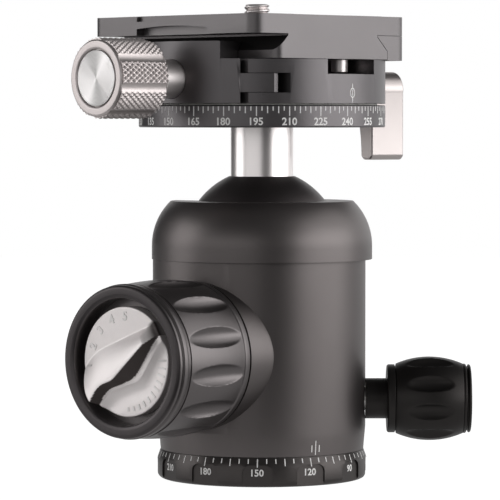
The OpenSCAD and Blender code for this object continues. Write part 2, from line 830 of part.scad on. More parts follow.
module main_bushing() {
    color("goldenrod") level_axis(main_turn, main_z) lift(cavity_r + face_gap)
        tube(main_bushing_r, main_spindle_r + run_gap, boss_reach - cavity_r - 2 * face_gap);
}

// ---- Main knob, along its own axis ----
plunger_end = cavity_r - face_gap;
main_rear = boss_reach + 3 * face_gap;
main_front = main_rear + main_l;
main_grip_l = main_l - main_rear_l - main_front_l;
main_grip_mid = main_rear + main_rear_l + main_grip_l / 2;
main_web_front = main_front - dial_recess_h;
dial_face = main_front - dial_depth;
dial_back = dial_face - dial_h;
dial_ledge = main_front - dial_ledge_h;
friction_from = dial_face - dial_h / 2 - friction_screw_l;

module flute_cutters(count, first, radius, depth, cutter_r, sag, half) {
    arc = arc_radius(half, sag);
    around(count, first) translate([radius - depth + cutter_r, 0]) rotate_extrude()
        intersection() {
            translate([cutter_r - arc, 0]) circle(r = arc);
            translate([0, -half]) square([cutter_r, 2 * half]);
        }
}

module main_knob_grip() {
    groove_r = main_end_r - ring_groove;
    half = main_grip_l / 2 - ring_groove / 2;
    rim_back = main_front - main_front_l + 2 * ring_groove + bead_w;
    color("dimgray") level_axis(main_turn, main_z) difference() {
        rotate_extrude() {
            translate([0, main_grip_mid]) crowned_outline(main_r, main_crown, half);
            translate([0, main_rear + ring_groove]) square([groove_r, main_l - 2 * ring_groove]);
            polygon([
                [0, main_rear], [main_end_r, main_rear],
                [main_end_r + ring_groove / 2, main_rear + main_rear_l - ring_groove],
                [0, main_rear + main_rear_l - ring_groove]
            ]);
            translate([0, main_front - main_front_l + ring_groove])
                square([main_end_r + ring_groove / 2, bead_w]);
            polygon([
                [0, rim_back], [main_end_r, rim_back],
                [main_end_r, main_front - ring_groove], [main_end_r - ring_groove, main_front],
                [0, main_front]
            ]);
        }
        lift(dial_ledge) cylinder(r = dial_recess_r, h = dial_ledge_h + over);
        lift(main_web_front) cylinder(r = dial_recess_r - dial_step, h = dial_recess_h);
        lift(main_rear - over) cylinder(r = main_hollow_r, h = main_web_front - main_web - main_rear + over);
        cylinder(r = main_spindle_r + fit_gap, h = main_front);
        lift(main_grip_mid)
            flute_cutters(main_flutes, main_flute_turn, main_r, main_flute_depth, main_flute_r,
                main_flute_sag, main_grip_l / 2 - main_flute_margin);
    }
}

module main_spindle() {
    from = plunger_end + face_gap;
    color("silver") level_axis(main_turn, main_z) difference() {
        lift(from) cylinder(r = main_spindle_r, h = main_web_front + nut_h - from);
        lift(friction_from - face_gap) cylinder(r = friction_screw_r + run_gap, h = main_front);
    }
}

module main_knob_nut() {
    color("silver") level_axis(main_turn, main_z) lift(main_web_front) difference() {
        cylinder(r = nut_r, h = nut_h, $fn = 6);
        lift(-over) cylinder(r = main_spindle_r + fit_gap, h = nut_h + 2 * over);
    }
}

module dial_ring() {
    color("black") level_axis(main_turn, main_z) lift(dial_ledge)
        tube(dial_recess_r - fit_gap, dial_ring_in_r, dial_ring_h);
}

// ---- Friction dial ----

// Sideways place of the ridge's middle line at a distance along it
function ridge_middle(along) = ridge_wave * sin(180 * along / ridge_half);

module ridge_outline() {
    steps = 12;
    narrowing = 1 - pow(ridge_end_w / ridge_w, 2);
    side = [for (i = [-steps : steps]) let (along = ridge_half * i / steps)
        [along, ridge_middle(along), ridge_w / 2 * sqrt(1 - narrowing * pow(i / steps, 2))]];
    polygon(concat(
        [for (p = side) [p[0], p[1] - p[2]]],
        [for (i = [len(side) - 1 : -1 : 0]) [side[i][0], side[i][1] + side[i][2]]]
    ));
}

module friction_dial() {
    color("gainsboro") level_axis(main_turn, main_z) difference() {
        union() {
            lift(dial_back) cylinder(r = dial_r, h = dial_h);
            lift(dial_face) rotate([0, 0, ridge_tilt]) linear_extrude(height = ridge_h)
                intersection() {
                    ridge_outline();
                    circle(r = dial_r);
                }
        }
        cylinder(r = friction_screw_r + fit_gap, h = friction_from + friction_screw_l + face_gap);
    }
}

module friction_screw() {
    color("silver") level_axis(main_turn, main_z) lift(friction_from)
        cylinder(r = friction_screw_r, h = friction_screw_l);
}

// ---- Pan knob, along its own axis ----
shoe_from = pan_spindle_r + run_gap + face_gap;
shoe_end = shoe_from + shoe_l;
pan_bushing_from = shoe_end + shoe_travel + face_gap;
pan_bushing_end = sqrt(body_r * body_r - pan_bushing_r * pan_bushing_r) - face_gap;
pan_neck_from = body_r + face_gap;
pan_rear = body_r + pan_stand;
pan_front = pan_rear + pan_rear_l + pan_grip_l + pan_front_l;

module brake_shoe() {
    color("ivory") level_axis(-90, pan_z) lift(shoe_from) cylinder(r = shoe_r, h = shoe_l - face_gap);
}

module pan_bushing() {
    color("goldenrod") level_axis(-90, pan_z) lift(pan_bushing_from)
        tube(pan_bushing_r, pan_screw_r + run_gap, pan_bushing_end - pan_bushing_from);
}

module pan_knob_grip() {
    grip_half = pan_grip_l / 2;
    color("dimgray") level_axis(-90, pan_z) difference() {
        rotate_extrude() {
            translate([0, pan_rear]) square([pan_end_r, pan_rear_l]);
            translate([0, pan_rear + pan_rear_l + grip_half]) crowned_outline(pan_r, pan_crown, grip_half);
            translate([0, pan_front - pan_front_l])
                square([pan_end_r - ring_groove, pan_front_l - cap_h]);
            polygon([
                [0, pan_front - pan_front_l + ring_groove],
                [pan_end_r, pan_front - pan_front_l + ring_groove],
                [pan_end_r, pan_front - ring_groove / 2], [pan_end_r - ring_groove / 2, pan_front],
                [0, pan_front]
            ]);
        }
        lift(pan_rear - over) cylinder(r = pan_screw_r + fit_gap, h = over + pan_screw_in + face_gap);
        lift(pan_front - cap_h) cylinder(r = cap_r + fit_gap, h = cap_h + over);
        lift(pan_rear + pan_rear_l + grip_half)
            flute_cutters(pan_flutes, pan_flute_turn - 90, pan_r, pan_flute_depth, pan_flute_r,
                pan_flute_sag, grip_half);
    }
}

module pan_knob_neck() {
    color("black") level_axis(-90, pan_z) lift(pan_neck_from)
        tube(pan_neck_r, pan_screw_r + fit_gap, pan_rear - pan_neck_from);
}

module pan_screw() {
    color("silver") level_axis(-90, pan_z) lift(shoe_end)
        cylinder(r = pan_screw_r, h = pan_rear + pan_screw_in - shoe_end);
}

module pan_knob_cap() {
    color("black") level_axis(-90, pan_z) lift(pan_front - cap_h) cylinder(r = cap_r, h = cap_h);
}

// ---- Ball and scale disc ----

module ball() {
    color("black") difference() {
        lift(ball_z) sphere(r = ball_r);
        lift(neck_bottom) cylinder(r = ball_r, h = ball_r);
        lift(neck_bottom - stud_h) cylinder(r = stud_r + fit_gap, h = stud_h + over);
    }
}

module neck() {
    color("silver") difference() {
        union() {
            lift(neck_bottom) cylinder(r = neck_r, h = neck_h);
            lift(neck_bottom - stud_h + face_gap) cylinder(r = stud_r, h = stud_h + over);
            lift(disc_bottom - over) cylinder(r = spigot_top_r, h = over + spigot_top_h);
        }
        lift(hub_bolt_bottom - face_gap) cylinder(r = hub_bolt_r + fit_gap, h = disc_top);
    }
}

hub_head_bottom = hub_top - face_gap - hub_head_h;
hub_bolt_bottom = hub_head_bottom - hub_bolt_l;

module pan_scale_disc() {
    color("dimgray") difference() {
        union() {
            rotate_extrude() polygon([
                [0, disc_bottom], [disc_r - disc_bevel, disc_bottom], [disc_r, disc_bottom + disc_bevel],
                [disc_r, disc_top - disc_bevel], [disc_r - disc_bevel, disc_top], [0, disc_top]
            ]);
            lift(disc_bottom) cylinder(r = hub_r, h = hub_top - disc_bottom);
        }
        lift(disc_bottom - over) cylinder(r = spigot_top_r + fit_gap, h = over + spigot_top_h + face_gap);
        lift(disc_bottom) cylinder(r = hub_bolt_r + fit_gap, h = hub_top);
        lift(hub_head_bottom) cylinder(r = hub_head_r + fit_gap, h = hub_top);
        clamp_ring_screw_set(fit_gap);
    }
}

module hub_bolt() {
    color("silver") {
        lift(hub_bolt_bottom) cylinder(r = hub_bolt_r, h = hub_bolt_l);
        lift(hub_head_bottom) difference() {
            cylinder(r = hub_head_r, h = hub_head_h);
            lift(hub_head_h - hub_socket_depth) cylinder(r = hub_socket_r, h = hub_head_h, $fn = 6);
        }
    }
}

module clamp_ring_screw_set(gap) {
    lift(hub_top + clamp_ring_h) around(ring_screws, 180 / ring_screws)
        translate([(hub_head_r + hub_r) / 2, 0])
            countersunk(ring_head_r + gap, ring_screw_r + gap, ring_screw_l);
}

module clamp_ring() {
    color("silver") difference() {
        lift(hub_top) tube(clamp_ring_r, hub_head_r, clamp_ring_h);
        clamp_ring_screw_set(fit_gap);
    }
}

module clamp_ring_screws() {
    color("silver") clamp_ring_screw_set(0);
}

module disc_washer() {
    color("white") lift(disc_top) tube(disc_r - gap_washer_margin, gap_washer_in, disc_gap - face_gap);
}

// ---- Clamp, in its own frame ----
clamp_cut = disc_r - jaw_cut_depth;
jaw_back = clamp_cut + jaw_split;
clamp_screw_z = clamp_bottom + clamp_screw_rise;
spring_from = clamp_cut - spring_pocket;
tongue_bottom = clamp_bottom + tongue_low;
tongue_from = sqrt(disc_r * disc_r - jaw_back * jaw_back) - tongue_root;
tongue_end = clamp_cut - tongue_l;
tongue_slot_end = tongue_end - tongue_room;
tongue_to = sqrt(disc_r * disc_r - pow(tongue_end + tongue_flat, 2));
lip_bottom = clamp_floor + dovetail_gap;
fixed_top = slab_bottom - fixed_gap;
jaw_mouth = foot_half - dovetail_h + dovetail_gap;

module clamp_body(bottom, height) {
    lift(bottom) cylinder(r = disc_r, h = height);
}

// Everything in front of a plane across the clamp
module front_of(distance, bottom, height) {
    translate([-disc_r - over, -disc_r - over, bottom])
        cube([2 * (disc_r + over), disc_r + over - distance, height]);
}

module guide_pin_set(gap) {
    for (x = [-pin_at, pin_at])
        translate([x, -clamp_cut + pin_in_base + gap, clamp_bottom + pin_rise]) rotate([90, 0, 0])
            cylinder(r = pin_r + gap, h = pin_in_base + jaw_split + pin_in_jaw + 2 * gap);
}

module fixed_screw_set(gap) {
    for (x = [-fixed_screw_at, fixed_screw_at])
        translate([x, fixed_screw_side, clamp_bottom]) {
            lift(face_gap - gap) cylinder(r = fixed_head_r + gap, h = fixed_head_h + gap);
            lift(fixed_head_h)
                cylinder(r = fixed_screw_r + gap, h = clamp_h - fixed_head_h + fixed_screw_in + gap);
        }
}

module stop_pocket() {
    translate([pocket_from, -pocket_near, clamp_floor - pocket_depth])
        cube([disc_r, pocket_near + pocket_far, pocket_depth + over]);
}

module tongue_slot() {
    translate([tongue_from - tongue_gap, -clamp_cut - over, tongue_bottom - tongue_gap])
        cube([disc_r, clamp_cut + over - tongue_slot_end, tongue_h + 2 * tongue_gap]);
}

module clamp_base() {
    color("dimgray") difference() {
        clamp_body(clamp_bottom, clamp_h);
        clamp_frame() {
            front_of(clamp_cut, clamp_bottom - over, clamp_h + 2 * over);
            tongue_slot();
            mirror([1, 0, 0]) tongue_slot();
            stop_pocket();
            rotate([0, 0, 180]) stop_pocket();
            guide_pin_set(fit_gap);
            fixed_screw_set(fit_gap);
            level_axis(0, clamp_screw_z) {
                cylinder(r = clamp_screw_r + run_gap, h = disc_r);
                lift(spring_from) cylinder(r = spring_r + 2 * spring_wire_r, h = disc_r);
            }
        }
        lift(clamp_bottom - over) cylinder(r = hub_r + run_gap, h = clamp_h + 2 * over);
        lift(ring_seat) cylinder(r = clamp_ring_r + 2 * run_gap, h = clamp_h);
        level_axis(lever_turn, lever_z) cylinder(r = lever_screw_r + run_gap, h = disc_r + over);
    }
}

// A dovetail jaw's end outline: Y outwards from the dovetail, Z up
module jaw_outline(bottom, top, outer, edge) {
    inner = foot_half + dovetail_gap;
    bend = plate_bottom + foot_h + dovetail_gap;
    polygon([
        [outer, bottom], [inner, bottom], [inner, bend], [inner + bend - top, top],
        [outer - edge, top], [outer, top - edge]
    ]);
}

module jaw_bar(bottom, top, outer, edge, half) {
    translate([-half, 0, 0]) rotate([90, 0, 90]) linear_extrude(height = 2 * half)
        jaw_outline(bottom, top, outer, edge);
}

module fixed_jaw() {
    color("gray") clamp_frame() difference() {
        intersection() {
            jaw_bar(clamp_floor, fixed_top, plate_w / 2, fixed_edge, fixed_half);
            lift(clamp_floor) linear_extrude(height = fixed_top - clamp_floor)
                rounded_rectangle(2 * fixed_half, plate_w, slab_corner);
            translate([-fixed_half - over, jaw_mouth, clamp_floor - over])
                cube([2 * (fixed_half + over), plate_w / 2, fixed_top - clamp_floor + 2 * over]);
        }
        fixed_screw_set(fit_gap);
    }
}

module fixed_jaw_screws() {
    color("silver") clamp_frame() fixed_screw_set(0);
}

module jaw_guide_pins() {
    color("silver") clamp_frame() guide_pin_set(0);
}

// A coil of round wire along +Z, swept ring by ring
module coil(radius, wire, length, turns) {
    sides = 8;
    per_turn = 20;
    rings = ceil(turns * per_turn);
    points = [for (i = [0 : rings], j = [0 : sides - 1])
        let (turn = 360 * turns * i / rings, side = 360 * j / sides, out = radius + wire * cos(side))
        [out * cos(turn), out * sin(turn), wire + (length - 2 * wire) * i / rings + wire * sin(side)]];
    walls = [for (i = [0 : rings - 1], j = [0 : sides - 1])
        let (next = (j + 1) % sides)
        [i * sides + j, (i + 1) * sides + j, (i + 1) * sides + next, i * sides + next]];
    ends = [[for (j = [0 : sides - 1]) j], [for (j = [sides - 1 : -1 : 0]) rings * sides + j]];
    polyhedron(points = points, faces = concat(walls, ends), convexity = 10);
}

module jaw_spring() {
    color("silver") clamp_frame() level_axis(0, clamp_screw_z) lift(spring_from + face_gap)
        coil(spring_r, spring_wire_r, jaw_back - spring_from - 2 * face_gap, spring_turns);
}

module jaw_tongue() {
    intersection() {
        clamp_body(tongue_bottom, tongue_h);
        translate([tongue_from, -jaw_back - over, tongue_bottom])
            cube([tongue_to - tongue_from, jaw_back + over - tongue_end, tongue_h]);
    }
}

// Outline of the movable jaw's lip from above
module lip_outline() {
    inner = foot_half - dovetail_h;
    polygon([
        [-lip_half, -disc_r - over], [lip_half, -disc_r - over],
        [lip_inner_half, -inner], [-lip_inner_half, -inner]
    ]);
}

module movable_jaw() {
    jaw_top = clamp_floor + jaw_rise;
    color("dimgray") clamp_frame() difference() {
        union() {
            intersection() {
                clamp_body(clamp_bottom + face_gap, lip_bottom - clamp_bottom - face_gap);
                front_of(jaw_back, clamp_bottom, clamp_h + over);
            }
            intersection() {
                clamp_body(lip_bottom, jaw_top - lip_bottom);
                mirror([0, 1, 0]) jaw_bar(lip_bottom, jaw_top, disc_r + over, over / 2, lip_half);
                lift(lip_bottom) linear_extrude(height = jaw_top - lip_bottom) lip_outline();
            }
            jaw_tongue();
            mirror([1, 0, 0]) jaw_tongue();
        }
        guide_pin_set(run_gap);
        level_axis(0, clamp_screw_z) {
            cylinder(r = clamp_screw_r + run_gap, h = disc_r + over);
            lift(disc_r - sleeve_seat) cylinder(r = sleeve_r + 2 * run_gap, h = disc_r);
        }
    }
}

// ---- Clamp knob, along its own axis ----
clamp_knob_from = disc_r + clamp_knob_gap;
clamp_knob_front = clamp_knob_from + clamp_knob_l;
clamp_screw_from = hub_r + clamp_screw_gap;
clamp_screw_end = clamp_knob_from + clamp_screw_in;

module clamp_axis() {
    clamp_frame() level_axis(0, clamp_screw_z) children();
}

module clamp_knob() {
    inner_r = clamp_knob_r - clamp_knob_bevel;
    color("silver") clamp_axis() difference() {
        rotate_extrude() polygon([
            [0, clamp_knob_from], [inner_r, clamp_knob_from],
            [clamp_knob_r, clamp_knob_from + clamp_knob_bevel],
            [clamp_knob_r, clamp_knob_front - clamp_knob_bevel],
            [inner_r, clamp_knob_front], [0, clamp_knob_front]
        ]);
        cylinder(r = clamp_screw_r + fit_gap, h = clamp_screw_end + face_gap);
        lift(clamp_knob_front - inlay_h - inlay_inset) cylinder(r = inlay_r + fit_gap, h = 2 * inlay_h);
    }
}

module clamp_knob_inlay() {
    color("white") clamp_axis() lift(clamp_knob_front - inlay_h - inlay_inset)
        cylinder(r = inlay_r, h = inlay_h);
}

module clamp_knob_sleeve() {
    from = disc_r - sleeve_seat + face_gap;
    color("silver") clamp_axis() lift(from)
        tube(sleeve_r, clamp_screw_r + fit_gap, clamp_knob_from - from);
}

module clamp_screw() {
    color("silver") clamp_axis() lift(clamp_screw_from)
        cylinder(r = clamp_screw_r, h = clamp_screw_end - clamp_screw_from);
}

// ---- Camera plate, in the clamp's frame ----
module plate_frame(bottom = 0) {
    clamp_frame() translate([plate_shift, 0, bottom]) children();
}

module stop_screw_set(gap) {
    for (turn = [0, 180])
        rotate([0, 0, turn]) translate([stop_at, stop_side, plate_bottom]) {
            lift(-stop_head_h) cylinder(r = stop_head_r, h = stop_head_h);
            cylinder(r = stop_shank_r + gap, h = stop_shank_l + gap);
        }
}

module pad_set(gap) {
    pad_l = plate_l - 2 * pad_margin;
    for (side = [-1, 1])
        translate([0, side * (pad_from + pad_to) / 2, slab_top + pad_proud - pad_h])
            linear_extrude(height = pad_h + gap)
                rounded_rectangle(pad_l + 2 * gap, pad_to - pad_from + 2 * gap, pad_corner + gap);
}

module foot_prism() {
    waist_half = foot_half - dovetail_h;
    bend = plate_bottom + foot_h;
    translate([-plate_l / 2, 0, 0]) rotate([90, 0, 90]) linear_extrude(height = plate_l)
        polygon([
            [-foot_half, plate_bottom], [foot_half, plate_bottom], [foot_half, bend],
            [waist_half, waist_bottom], [waist_half, slab_bottom + over],
            [-waist_half, slab_bottom + over], [-waist_half, waist_bottom], [-foot_half, bend]
        ]);
}

module side_relief() {
    translate([0, relief_depth - plate_w / 2, slab_bottom - over]) rotate([90, 0, 0])
        rotate([0, 0, 90]) linear_extrude(height = relief_depth + over)
            crowned_outline(relief_rise + over, relief_drop, relief_half);
}

module camera_plate() {
    color("gray") plate_frame() difference() {
        union() {
            lift(slab_bottom) linear_extrude(height = slab_h)
                rounded_rectangle(plate_l, plate_w, slab_corner);
            intersection() {
                foot_prism();
                lift(plate_bottom) linear_extrude(height = slab_top - plate_bottom) {
                    rounded_rectangle(plate_l, 2 * foot_half, foot_corner);
                    translate([-plate_l / 2, 0]) square([plate_l, foot_half]);
                }
            }
        }
        translate([-channel_l_half, -channel_half, plate_bottom - over])
            cube([2 * channel_l_half, 2 * channel_half, channel_h + over]);
        lift(plate_bottom) linear_extrude(height = slab_top)
            rounded_slot(slot_half, camera_r + camera_gap);
        lift(slab_top - clip_slot_h) linear_extrude(height = slab_top)
            rounded_slot(slot_half, clip_slot_half);
        side_relief();
        translate([-relief_half, -plate_w / 2 - over, slab_top - rebate_h])
            cube([2 * relief_half, rebate_depth + over, rebate_h + over]);
        stop_screw_set(fit_gap);
        pad_set(pad_gap);
    }
}

module rounded_slot(half, radius) {
    square([2 * (half - radius), 2 * radius], center = true);
    for (x = [-1, 1])
        translate([x * (half - radius), 0]) circle(r = radius);
}

module plate_stop_screws() {
    color("silver") plate_frame() stop_screw_set(0);
}

module plate_pads() {
    color("black") plate_frame() pad_set(0);
}

// ---- Camera screw ----
camera_seat = plate_bottom + channel_h - face_gap;
camera_thread_from = slab_top + pad_proud + 2 * face_gap;

module camera_frame(bottom) {
    clamp_frame() translate([camera_at, 0, bottom]) children();
}

module camera_screw() {
    color("silver") camera_frame(camera_seat) {
        cylinder(r = camera_neck_r, h = camera_thread_from - camera_seat + over);
        lift(camera_thread_from - camera_seat)
            cylinder(r = camera_r, h = slab_top + camera_rise - camera_thread_from);
        lift(-camera_head_h) difference() {
            cylinder(r = camera_head_r, h = camera_head_h);
            translate([-camera_head_r - over, -coin_w / 2, -over])
                cube([2 * (camera_head_r + over), coin_w, coin_depth + over]);
        }
    }
}

module camera_screw_clip() {
    color("silver") camera_frame(slab_top - clip_slot_h + face_gap)
        tube(clip_r, camera_neck_r + run_gap, clip_h);
}

// ---- Pan lever, along its own axis ----
lever_z = clamp_bottom + lever_rise;
lever_from = disc_r + lever_gap;
lever_pad_from = hub_r + run_gap + face_gap;
lever_screw_from = lever_pad_from + lever_pad_l + face_gap;
lever_screw_end = lever_from + lever_screw_in;

module lever_arm_outline() {
    steps = 10;
    flat_side = lever_step - lever_head_r;
    curve_side = flat_side + lever_tip_w;
    polygon(concat(
        [[0, 0]],
        [for (i = [2 : steps]) let (down = i / steps)
            [curve_side + (lever_head_r - curve_side) * pow(1 - down, 2), lever_corner - down * lever_l]],
        [[curve_side - lever_corner, -lever_l], [flat_side + lever_corner, -lever_l],
         [flat_side, lever_corner - lever_l], [flat_side, 0]]
    ));
}

module lever_cap_shape(gap) {
    lift(lever_from + lever_t)
        countersunk(lever_cap_head_r + gap, lever_cap_r + gap, lever_t - lever_screw_in + lever_cap_in);
}

module lever_pad() {
    color("ivory") level_axis(lever_turn, lever_z) lift(lever_pad_from)
        cylinder(r = lever_screw_r, h = lever_pad_l);
}

module pan_lever() {
    color("gainsboro") level_axis(lever_turn, lever_z) difference() {
        lift(lever_from) {
            cylinder(r = lever_head_r, h = lever_t);
            linear_extrude(height = lever_t) lever_arm_outline();
        }
        cylinder(r = lever_screw_r + fit_gap, h = lever_screw_end);
        lever_cap_shape(fit_gap);
    }
}

module lever_screw() {
    color("silver") level_axis(lever_turn, lever_z) difference() {
        lift(lever_screw_from) cylinder(r = lever_screw_r, h = lever_screw_end - lever_screw_from);
        lever_cap_shape(fit_gap);
    }
}

module lever_cap_screw() {
    color("silver") level_axis(lever_turn, lever_z) lever_cap_shape(0);
}

base_ring();
thread_insert();
retaining_plate();
retaining_screws();
housing();
pan_washer();
retaining_collar();
upper_seat();
collar_grub_screws();
main_bushing();
pan_bushing();
lift_ring();
lower_seat();
ball();
neck();
pan_scale_disc();
hub_bolt();
clamp_ring();
clamp_ring_screws();
disc_washer();
clamp_base();
fixed_jaw();
fixed_jaw_screws();
jaw_guide_pins();
jaw_spring();
movable_jaw();
clamp_knob();
clamp_knob_inlay();
clamp_knob_sleeve();
clamp_screw();
camera_plate();
plate_stop_screws();
plate_pads();
camera_screw();
camera_screw_clip();
lever_pad();
pan_lever();
lever_screw();
lever_cap_screw();
lock_plunger();
main_knob_grip();
main_spindle();
main_knob_nut();
dial_ring();
friction_dial();
friction_screw();
brake_shoe();
pan_knob_grip();
pan_knob_neck();
pan_screw();
pan_knob_cap();
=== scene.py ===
"""Looks of a tripod ball head: its finishes, knobs, knurling and scales, and its studio."""

import json

import bmesh
import bpy
import numpy as np
from mathutils import Matrix


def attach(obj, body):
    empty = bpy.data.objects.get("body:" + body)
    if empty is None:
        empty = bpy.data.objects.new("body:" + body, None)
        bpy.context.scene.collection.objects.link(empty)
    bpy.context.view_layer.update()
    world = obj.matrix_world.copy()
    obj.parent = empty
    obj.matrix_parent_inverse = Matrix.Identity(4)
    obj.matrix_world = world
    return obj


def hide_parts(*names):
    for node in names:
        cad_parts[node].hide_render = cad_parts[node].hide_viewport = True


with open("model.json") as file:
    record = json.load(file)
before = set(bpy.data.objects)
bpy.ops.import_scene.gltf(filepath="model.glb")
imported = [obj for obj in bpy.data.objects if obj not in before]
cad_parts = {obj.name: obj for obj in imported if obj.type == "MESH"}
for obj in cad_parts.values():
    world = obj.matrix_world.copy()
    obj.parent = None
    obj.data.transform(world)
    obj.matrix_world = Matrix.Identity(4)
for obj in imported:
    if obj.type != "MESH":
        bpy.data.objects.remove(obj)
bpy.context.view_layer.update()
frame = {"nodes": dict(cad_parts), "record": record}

MM = 0.001
TAU = 2 * np.pi

# Turns from the front towards the left in degrees, and heights of the level axes in millimetres
MAIN_TURN, MAIN_Z = 39, 32
CLAMP_TURN, CLAMP_Z = 46.4, 100.096
PAN_TURN, PAN_Z = -90, 19.8


# ---- Camera and lamps ----
CAMERA_PLACE = (-0.00302, -0.831, 0.0905)
CAMERA_DIP = 2.29
CAMERA_LENS, FILM_WIDTH = 237.5, 36
LAMP_CENTRE, LAMP_DISTANCE = np.array([0, 0, 0.06]), 0.95


def set_camera():
    """The camera stands in front of the head at the height of its clamp and looks down by its dip,
    in degrees."""
    camera = bpy.data.cameras.new("camera")
    camera.lens, camera.sensor_width = CAMERA_LENS, FILM_WIDTH
    camera.clip_start, camera.clip_end = 0.05, 20
    holder = bpy.data.objects.new("camera", camera)
    bpy.context.collection.objects.link(holder)
    holder.location = CAMERA_PLACE
    holder.rotation_euler = (np.radians(90 - CAMERA_DIP), 0, 0)
    bpy.context.scene.camera = holder


def soft_box(name, turn, elevation, width, height, radiance):
    """A rectangular lamp that faces the head. Turn counts from the front towards the right, and its
    power is radiance times area times pi."""
    lamp = bpy.data.lights.new(name, "AREA")
    lamp.shape, lamp.size, lamp.size_y = "RECTANGLE", width, height
    lamp.energy = radiance * width * height * np.pi
    holder = bpy.data.objects.new(name, lamp)
    bpy.context.collection.objects.link(holder)
    t, e = np.radians(turn), np.radians(elevation)
    towards = np.array([np.sin(t) * np.cos(e), -np.cos(t) * np.cos(e), np.sin(e)])
    holder.location = towards * LAMP_DISTANCE + LAMP_CENTRE
    holder.rotation_euler = (np.pi / 2 - e, 0, t)


# ---- Shader maths ----

class Value:
    """A number's socket in a finish. Arithmetic on it adds Math nodes."""

    def __init__(self, finish, socket):
        self.finish, self.socket = finish, socket

    def math(self, operation, *others, swap=False):
        """A Math node on this value and the others, or on the others and this one."""
        pair = (*others, self) if swap else (self, *others)
        return self.finish.node("ShaderNodeMath", {"operation": operation}, dict(enumerate(pair)))

    def other(self, name):
        """Another output of the node that this value comes from."""
        return Value(self.finish, self.socket.node.outputs[name])

    def __add__(self, b):
        return self.math("ADD", b)

    def __sub__(self, b):
        return self.math("SUBTRACT", b)

    def __rsub__(self, b):
        return self.math("SUBTRACT", b, swap=True)

    def __mul__(self, b):
        return self.math("MULTIPLY", b)

    def __pow__(self, b):
        return self.math("POWER", b)

    __radd__, __rmul__ = __add__, __mul__


def opaque(tone):
    """A colour for a socket: a shader's value as it is, or three numbers with full alpha."""
    return tone if isinstance(tone, Value) else (*tone, 1.0)


class Finish:
    """A procedural material, built up from nodes and finished by surface()."""

    def __init__(self, name):
        self.material = bpy.data.materials.new(name)
        self.material.use_nodes = True
        self.tree = self.material.node_tree
        self.tree.nodes.clear()

    def node(self, kind, settings=None, sockets=None, out=0):
        """Adds a node, first its settings and then each socket's value or link, and gives one of
        its outputs."""
        node = self.tree.nodes.new(kind)
        for name, value in (settings or {}).items():
            setattr(node, name, value)
        for key, value in (sockets or {}).items():
            if isinstance(value, Value):
                self.tree.links.new(value.socket, node.inputs[key])
            else:
                node.inputs[key].default_value = value
        return Value(self, node.outputs[out])

    def place(self):
        """Object coordinates, in metres."""
        return self.node("ShaderNodeTexCoord", out="Object")

    def turned_place(self, rotation, location=(0, 0, 0)):
        """The three numbers of a place, turned and then moved."""
        at = self.node("ShaderNodeMapping", {"vector_type": "POINT"},
                       {"Vector": self.place(), "Location": location, "Rotation": rotation})
        x = self.node("ShaderNodeSeparateXYZ", None, {0: at}, "X")
        return x, x.other("Y"), x.other("Z")

    def axis_place(self, to_world):
        """The three numbers of a place, the last along an axis, which is the Z axis of to_world."""
        back = to_world.inverted()
        return self.turned_place(back.to_euler()[:], back.translation[:])

    def from_axis(self, to_world):
        """Distance from an axis and place along it, in metres."""
        x, y, z = self.axis_place(to_world)
        return (x * x + y * y) ** 0.5, z

    def noise(self, size, detail=2, at=None, rough=0.5):
        """Soft noise from 0 to 1, its lumps size millimetres across."""
        return self.node("ShaderNodeTexNoise", {"normalize": True},
                         {"Vector": at or self.place(), "Scale": 1 / (size * MM),
                          "Detail": detail, "Roughness": rough}, "Fac")

    def lathe_lines(self, to_world, pitch):
        """Noise drawn out into circles round an axis: it reads only the distance from it and the
        place along it."""
        r, z = self.from_axis(to_world)
        at = self.node("ShaderNodeCombineXYZ", None, {0: r, 1: z})
        return self.noise(pitch, 3, at, 0.6)

    def between(self, value, low, high):
        """Low plus value times the way from low to high."""
        return value * (high - low) + low

    def step(self, value, low, high):
        """0 below low, 1 above high, and smooth between them."""
        return self.node("ShaderNodeMapRange", {"interpolation_type": "SMOOTHSTEP"},
                         {"Value": value, "From Min": low, "From Max": high}, "Result")

    def mix(self, share, first, second):
        """The first colour, going over to the second as share goes from 0 to 1."""
        return self.node("ShaderNodeMix", {"data_type": "RGBA"},
                         {0: share, 6: opaque(first), 7: opaque(second)}, 2)

    def surface(self, tone, roughness, metallic, height, depth):
        """Principled shader. Height times depth millimetres is its bump."""
        bump = self.node("ShaderNodeBump", None, {"Height": height, "Distance": depth * MM})
        shader = self.node("ShaderNodeBsdfPrincipled", None,
                           {"Base Color": tone, "Roughness": roughness, "Metallic": metallic,
                            "Normal": bump})
        self.show(shader)
        return self.material

    def show(self, shader):
        """Makes a shader the one that the material shows."""
        output = self.tree.nodes.new("ShaderNodeOutputMaterial")
        self.tree.links.new(shader.socket, output.inputs["Surface"])


# ---- Finishes ----

def level_matrix(turn, height):
    """The axis that points to the front turned by turn degrees towards the left, at a height in
    millimetres."""
    return (Matrix.Rotation(np.radians(-turn), 4, "Z") @ Matrix.Translation((0, 0, height * MM))
            @ Matrix.Rotation(np.pi / 2, 4, "X"))


UPRIGHT = Matrix.Identity(4)
MAIN_AXIS = level_matrix(MAIN_TURN, MAIN_Z)
CLAMP_AXIS = level_matrix(CLAMP_TURN, CLAMP_Z)
PAN_AXIS = level_matrix(PAN_TURN, PAN_Z)


def blasted(name, dark, light, rough, grain=0.16, bump=0.006, metallic=0.95):
    """Bead-blasted and anodised aluminium: fine pits in the surface, and a faint cloud in its
    colour."""
    f = Finish(name)
    cloud = f.noise(9, 3)
    pits = f.noise(grain, 2)
    tone = f.mix(cloud * 0.7 + pits * 0.3, dark, light)
    return f.surface(tone, f.between(pits, rough - 0.04, rough + 0.05), metallic, pits, bump)


